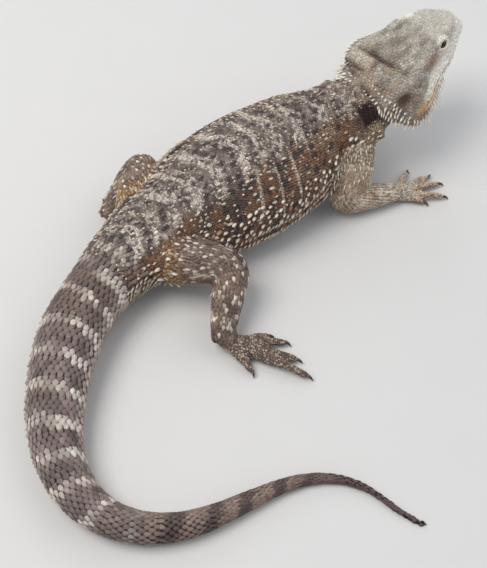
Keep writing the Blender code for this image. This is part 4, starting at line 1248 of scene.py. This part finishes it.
# a row at places where rays in towards the head's axis meet the skin, from middle + far (cos t, sin t)
def lipRow(name, above, gap, tall):
    turn = np.radians(np.linspace(-lipForm["turn"], lipForm["turn"], lipForm["rays"]))[:, None]
    f, l = lipForm["middle"] + lipForm["far"] * np.cos(turn), lipForm["far"] * np.sin(turn)
    height = np.polyval(lipLine, np.clip(f * 0.6, -24, 18)) + above
    start = facePoint(f, l, height)
    way = unit(facePoint(lipForm["middle"], 0, height) - start)
    hits = [skinTree.ray_cast(Vector(q) * mm, Vector(d))[0] for q, d in zip(start, way)]
    hits = np.array([hit for hit in hits if hit is not None]) / mm
    f, _, u = faceCoordinates(hits)
    hits = hits + faceUp * (np.polyval(lipLine, f) + above - u)[:, None]
    along = lengthAlong(hits)
    t = np.arange(0, along[-1], gap)
    p, n, spot = onSkin(np.stack([np.interp(t, along, hits[:, i]) for i in range(3)], 1))
    p, n, spot = chosen(faceCoordinates(p)[0] > lipForm["last"], p, n, spot)
    spot["lie"] = unit(np.cross(n, faceUp))
    size = np.tile([gap * 1.12, tall, lipForm["thick"]], (len(p), 1))
    colour = markingsAndShade(p, spot)
    # a darker root, partly painted shade where the scale meets the skin
    coat(name, "plate", p, n, spot, size, varied(colour, 0.05) * 0.8,
         varied(layered(colour, ("lip", 0.5)), 0.05))
    take(p, tall * 0.95)


for name, row in lips.items():
    lipRow(name, *row)

# the tail: rings of pointed plates, spiny along the sides near the root; curves over s from the tail's root
tailCoat = {
    "pitch": ((-12, 1.7), (0, 1.9), (40, 2.15), (95, 2.1), (125, 1.9), (150, 1.7), (190, 1.5), (250, 1.3)),
    "width": ((-12, 2.5), (0, 2.9), (40, 3.2), (95, 3.1), (125, 2.6), (150, 2.2), (190, 1.7), (250, 1.1)),
}
pitch, width = ([(s + sTail, v) for s, v in tailCoat[key]] for key in ("pitch", "width"))
p, n, spot = rings("spine", pitch, width, sTail - 12, lines["spine"]["s"][-1] - 0.4)
p, n, spot = chosen(untaken(p, 0.7), p, n, spot)
step, wide = curve(spot["s"], pitch), curve(spot["s"], width)
spiny = bell(np.abs(spot["angle"]), 84, 16) * (1 - smooth(60, 130, spot["s"] - sTail))
size = np.stack([step * 1.58, wide * 0.95, step * (0.42 + 0.7 * spiny)], 1)
size *= (1 + 0.05 * rng.standard_normal(len(p)))[:, None]
colour = varied(markingsAndShade(p, spot), 0.12)
tip = layered(np.minimum(colour, 0.8), ("tailPale", spiny * 0.45))
# a nearly black root: the dark lines between the plates, partly the skin's own tone and partly painted shade
coat("coat_tail", "ringPlate", p, n, spot, size, colour * 0.05, tip, lean=0.25 + 0.9 * spiny)
take(p, wide)

# nothing grows over the ears
earClear = 4.4
for side in ears:
    take(onSkin(ears[side][None])[0], earClear)

# rings on the limbs: pitch over s
limbCoat = {"arm": ((0, 1.6), (42, 1.6), (54, 1.25)),
            "leg": ((0, 1.5), (20, 1.6), (30, 2.1), (44, 1.9), (56, 1.25))}
for limb, knots in limbCoat.items():
    for side in sides:
        name = f"{limb}_{side}"
        p, n, spot = rings(name, knots, knots, 0.0, lines[name]["s"][-1] + 2, jitter=0.1)
        p, n, spot = chosen(untaken(p, 0.62), p, n, spot)
        across = curve(spot["s"], knots)
        colour = varied(markingsAndShade(p, spot), 0.14)
        front = smooth(0.2, 0.8, n @ faceAhead) * (limb == "arm") * (spot["s"] < 22)
        size = sizes(across * 1.1, 1.3, 0.26)
        size[:, 2] *= 1 + 2.2 * front
        tip = layered(np.minimum(colour * 1.2, 0.9), ("cream", front * 0.6))
        # a darker root, partly painted shade where the scale meets the skin
        coat("coat_" + name, "keeled", p, n, spot, size, colour * 0.36, tip, lean=0.25)
        take(p, across)
print("tail and limbs:", sum(len(places) for places in takenPlaces), "places taken")

# rings of granules on the trunk, parted by the angle from the top
trunkCoat = {"pitch": 1.0, "width": 1.08, "granule": 1.16, "tall": 0.36, "taken": 1.02}
pitch, width = (((0, trunkCoat[key]),) for key in ("pitch", "width"))
p, n, spot = rings("spine", pitch, width, sNape - 2, sTail - 4, slant=0.12, jitter=0.12)
s = spot["s"] - sNape
onTrunk = (s > 1) & (spot["s"] < sTail - 6) & (np.abs(spot["angle"]) < 112) & (faceCoordinates(p)[0] < -42)
p, n, spot = chosen(onTrunk, p, n, spot)
p, n, spot = chosen(untaken(p, 0.55), p, n, spot)
angle = spot["angle"]
trunkParts = {"coat_back_left": (angle > 0) & (angle < 50), "coat_back_right": (angle <= 0) & (angle > -50),
              "coat_flank_left": angle >= 50, "coat_flank_right": angle <= -50}
for name, mask in trunkParts.items():
    q, m, where = chosen(mask, p, n, spot)
    colour = varied(markingsAndShade(q, where), 0.14)
    back = 1 - smooth(35, 60, np.abs(where["angle"]))
    chance = rng.random(len(q))
    colour = layered(colour, ("cream", (chance < 0.04 + 0.08 * back) * 0.4), ("slate", (chance > 0.88) * 0.5))
    size = sizes(np.full(len(q), trunkCoat["granule"]), 1.15, trunkCoat["tall"])
    # a darker root, partly painted shade where the granule meets the skin
    coat(name, "granule", q, m, where, size, colour * 0.4, np.minimum(colour * 1.1, 0.9))
take(p, trunkCoat["taken"])
print("trunk:", len(p), "granules")

# the rest, spread evenly by spacings: head, hands and feet, belly, and the gaps round the limbs
restForm = {"tries": 330000, "throat": 1.75, "digit": 0.78, "belly": 1.75, "trunk": 1.08, "limb": 1.35,
            "head": ((-44, 1.15), (-20, 1.05), (0, 0.9), (18, 0.75)), "eye": 0.62, "eye reach": 7.5}
p, n, spot = sprinkle(restForm["tries"])
p, n, spot = chosen(untaken(p, 0.62), p, n, spot)
f, _, u = faceCoordinates(p)
body, digit = spot["kind"] == "body", spot["kind"] == "digit"
head = body & (f > -44)
throat = head & (u < -13)
headGap = np.where(eyeGap(p) < restForm["eye reach"], restForm["eye"], curve(f, restForm["head"]))
spacing = np.select([throat, head, digit, body & (np.abs(spot["angle"]) > 108), body],
                    [restForm["throat"], headGap] + [restForm[key] for key in ("digit", "belly", "trunk")],
                    restForm["limb"])
kept = spaced(p, spacing)
p, n, spot, spacing = chosen(kept, p, n, spot, spacing)
body, digit, head, throat = chosen(kept, body, digit, head, throat)
right = spot["angle"] < 0
restParts = {
    # name: where, shape, width and height over spacing, share of the colour at the root (darker, partly
    # painted shade where a scale meets the skin), how varied, lean
    "coat_head_right": (head & ~throat & right, "plate", 1.3, 0.13, 0.68, 0.08, 0.0),
    "coat_head_left": (head & ~throat & ~right, "plate", 1.3, 0.13, 0.68, 0.08, 0.0),
    "coat_throat": (throat, "cone", 1.15, 0.5, 0.5, 0.1, 0.5),
    "coat_belly": (~head & body, "granule", 1.2, 0.26, 0.5, 0.1, 0.0),
    "coat_limb_gaps": (~body & ~digit, "keeled", 1.25, 0.28, 0.5, 0.1, 0.0),
    "coat_feet": (digit, "plate", 1.32, 0.26, 0.5, 0.1, 0.0),
}
for name, (mask, shape, cover, tall, dark, change, lean) in restParts.items():
    q, m, where, wide = chosen(mask, p, n, spot, spacing * cover)
    colour = varied(markingsAndShade(q, where), change)
    tip = np.minimum(colour * 1.12, 0.92)
    if name == "coat_feet":
        tip = layered(tip, ("limbPale", np.clip(rng.random(len(q)) * 1.2 - 0.5, 0, 0.6)))
    # the root darker: partly painted shade where the scale meets the skin
    coat(name, shape, q, m, where, sizes(wide, 1.08, tall), colour * dark, tip, lean=lean)
print("head, belly and feet:", len(p), "scales")


# eyes: balls of rings from the front of the axis to its back, with a slightly raised cornea

eyeShader = Shader("wet_eye")
eyeShader.set(Base_Color=eyeShader.node("ShaderNodeAttribute", {"attribute_name": "tint"}), Roughness=0.12,
              Specular_IOR_Level=0.3, Coat_Weight=0.35, Coat_Roughness=0.04)
lidForm = {"wide": 4.6, "out": 2.0, "over": 0.6, "thick": 0.4}  # degrees, degrees, mm, mm
lidMaterial = mottled("lid_margin", tones["lidPale"], tones["lidDark"], 900.0, 0.45)
for side in eyes:
    polar = np.radians(np.concatenate([np.linspace(2, 40, 24), np.linspace(45, 178, 20)]))
    a, t = np.meshgrid(polar, np.linspace(0, 2 * np.pi, 48, endpoint=False), indexing="ij")
    ring = onBall(side, a, t, eyeForm["radius"] + eyeForm["cornea"] * bell(np.degrees(a), 0, 20))
    axis = eyeAxes(side)[0]
    front = eyes[side] + axis * (eyeForm["radius"] + eyeForm["cornea"])
    p, faces = closedRings(ring, front, eyes[side] - axis * eyeForm["radius"])
    a = np.degrees(np.concatenate([a.ravel(), [0, np.pi]]))
    t = np.concatenate([t.ravel(), [0, 0]])
    wobble = 0.6 * (noise(np.stack([np.cos(t) * 9, np.sin(t) * 9, a * 0.2], 1), 1.2, 2) - 0.5)
    pupil = 1 - smooth(0.94, 1.06, a / (eyeForm["pupil"] * (1 + 0.12 * np.abs(np.cos(t)))))
    colour = layered("eyeIris", ("eyeGold", np.clip(bell(a, eyeForm["pupil"] + 2, 2.2) + wobble, 0, 1)),
                     ("eyeRim", smooth(eyeForm["iris"] - 2, eyeForm["iris"] + 1, a)),
                     ("eyeWhite", smooth(eyeForm["iris"] + 2, eyeForm["iris"] + 9, a) * 0.5),
                     ("eyePupil", pupil))
    ball = addPiece(f"eyeball_{side}", p, faces, eyeShader.material)
    setAttribute(ball, "tint", colour)
    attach(ball, "root")
    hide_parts(f"eye_{side}")
    # the lid's margin: a rounded rim along the opening, wide cos b across it and thick sin b out of it
    index = np.arange(64 * 8).reshape(64, 8)
    t, b = np.meshgrid(np.arange(64) * np.pi / 32, np.arange(8) * np.pi / 4, indexing="ij")
    a = np.radians(openingEdge(t) + lidForm["wide"] * np.cos(b) + lidForm["out"])
    p = onBall(side, a, t, eyeForm["radius"] + lidForm["over"] + lidForm["thick"] * np.sin(b)).reshape(-1, 3)
    corners = [index, np.roll(index, -1, 0), np.roll(index, (-1, -1), (0, 1)), np.roll(index, -1, 1)]
    faces = outward(p, np.stack(corners, 2).reshape(-1, 4))
    rim = addPiece(f"lid_margin_{side}", p, faces, lidMaterial)
    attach(rim, "root")

# ears: a shallow dished disc of thin skin set into the hollow; the profile gives (radius, height) outwards
drumForm = {"profile": ((1.1, 0.12), (1.8, 0.22), (2.15, 0.42), (2.4, 0.36), (2.5, -0.4)), "middle": 0.1,
            "sunk": 0.35, "back": 0.6, "narrow": 0.8}
drumMaterial = mottled("ear_drum", tones["drumPale"], tones["drumDark"], 700.0, 0.55)
radius, height = np.array(drumForm["profile"]).T[..., None, None]
turn = np.linspace(0, 2 * np.pi, 32, endpoint=False)[:, None]
for side in ears:
    (root,), (n,), _ = onSkin(ears[side][None])
    x = unit(np.cross(n, faceUp))
    disc = x * np.cos(turn) * drumForm["narrow"] + np.cross(n, x) * np.sin(turn)
    p, faces = closedRings(root + disc * radius + n * (height - drumForm["sunk"]),
                           root + n * (drumForm["middle"] - drumForm["sunk"]), root - n * drumForm["back"])
    drum = addPiece(f"ear_drum_{side}", p, faces, drumMaterial)
    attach(drum, "root")
    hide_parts(f"ear_{side}")

# nails: curved tapering horns from the end of each digit to the CAD claw's tip
nailForm = {"sides": 10, "steps": 10, "root": 0.85, "tip": 0.07, "sunk": 1.0, "raised": 0.35, "arch": 0.35,
            "floor": 0.15, "narrow": 0.82, "deep": 1.1, "point": 0.12}
nailShader = Shader("nail_horn")
along = nailShader.node("ShaderNodeAttribute", {"attribute_name": "along"}, output=2)
nailShader.set(Base_Color=nailShader.between(along, tones["nailRoot"], tones["nailTip"]), Roughness=0.28,
               Coat_Weight=0.4)


# a quarter wave from the digit's end: out sin(t 90) reach, down 1 - cos(t 90), with an arch of sin(t 180)
def addNail(end, side, k):
    line = lines[f"{end}_{side}_{k}"]["centre"]
    tip = farthest(nodePoints[f"claw_{end}_{side}_{k}"], line[0])
    out = unit((tip - line[-1]) * (1, 1, 0))
    start = line[-1] - out * nailForm["sunk"] + np.array([0, 0, nailForm["raised"]])
    t = np.linspace(0, 1, nailForm["steps"])
    path = start + out * (np.sin(t * np.pi / 2) * dot(tip - start, out))[:, None]
    path[:, 2] = (start[2] + nailForm["arch"] * np.sin(np.pi * t)
                  - (start[2] - nailForm["floor"]) * (1 - np.cos(t * np.pi / 2)))
    radius = nailForm["tip"] + (nailForm["root"] - nailForm["tip"]) * (1 - t**1.6)
    deep = nailForm["deep"] / nailForm["narrow"]
    ring = tubeRings(path, radius * nailForm["narrow"], deep, nailForm["sides"])
    p, faces = closedRings(ring, path[0], path[-1] + unit(path[-1] - path[-2]) * nailForm["point"])
    p[:, 2] = np.maximum(p[:, 2], 0.02)
    nail = addPiece(f"nail_{end}_{side}_{k}", p, faces, nailShader.material)
    setAttribute(nail, "along", np.concatenate([np.repeat(t, nailForm["sides"]), [0, 1]]))
    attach(nail, "root")
    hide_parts(f"claw_{end}_{side}_{k}")


for end in ("hand", "foot"):
    for side in sides:
        for k in range(1, 6):
            addNail(end, side, k)
print("eyes, ears and nails")


# floor, light and camera

floorForm = {"size": 6, "tone": (0.62, 0.61, 0.59), "darker": 0.97}
bpy.ops.mesh.primitive_plane_add(size=floorForm["size"], location=(0, 0, 0))
floor = bpy.context.object
floor.name = "floor"
darker = tuple(floorForm["darker"] * c for c in floorForm["tone"])
floor.data.materials.append(mottled("pale_floor", floorForm["tone"], darker, 40.0, 0.9))


# cos e cos a, cos e sin a, sin e, for an angle a seen from above and an elevation e in degrees
def direction(azimuth, elevation):
    a, e = math.radians(azimuth), math.radians(elevation)
    return Vector((math.cos(a) * math.cos(e), math.sin(a) * math.cos(e), math.sin(e)))


# puts a lamp or camera at a place, facing against a direction
def aim(name, data, place, back):
    thing = bpy.data.objects.new(name, data)
    thing.location = place
    thing.rotation_euler = back.to_track_quat("Z", "Y").to_euler()
    bpy.context.scene.collection.objects.link(thing)
    return thing


view = {"target": (-14.45, 22.3, 0.0), "azimuth": -125.0, "elevation": 55.0, "distance": 452.0, "width": 28.0}
back = direction(view["azimuth"], view["elevation"])
lens = bpy.data.cameras.new("camera")
lens.sensor_fit = "HORIZONTAL"
lens.lens = lens.sensor_width / 2 / math.tan(math.radians(view["width"]) / 2)
lens.clip_start = 0.01
target = Vector(view["target"]) * mm
bpy.context.scene.camera = aim("camera", lens, target + back * view["distance"] * mm, back)

lights = {
    # name: azimuth from above, elevation, distance, size, watts, colour
    "key": (150.0, 62.0, 1.1, 0.7, 8.6, (1.0, 0.97, 0.93)),
    "fill": (-20.0, 40.0, 1.3, 1.2, 4.6, (0.96, 0.97, 1.0)),
    "rim": (60.0, 30.0, 1.2, 0.6, 2.0, (1.0, 1.0, 1.0)),
}
for name, (azimuth, elevation, far, size, watts, tone) in lights.items():
    lamp = bpy.data.lights.new(name, "AREA")
    lamp.size = size
    lamp.energy = watts
    lamp.color = tone
    toward = direction(azimuth, elevation)
    aim(name, lamp, toward * far, toward)
sky = {"colour": (0.85, 0.9, 1.0, 1), "strength": 0.55}
world = bpy.data.worlds.new("studio")
bpy.context.scene.world = world
world.use_nodes = True
world.node_tree.nodes["Background"].inputs[0].default_value = sky["colour"]
world.node_tree.nodes["Background"].inputs[1].default_value = sky["strength"]
bpy.context.scene.view_settings.view_transform = "Standard"

print("triangles", sum(pieceTriangles.values()), pieceTriangles)
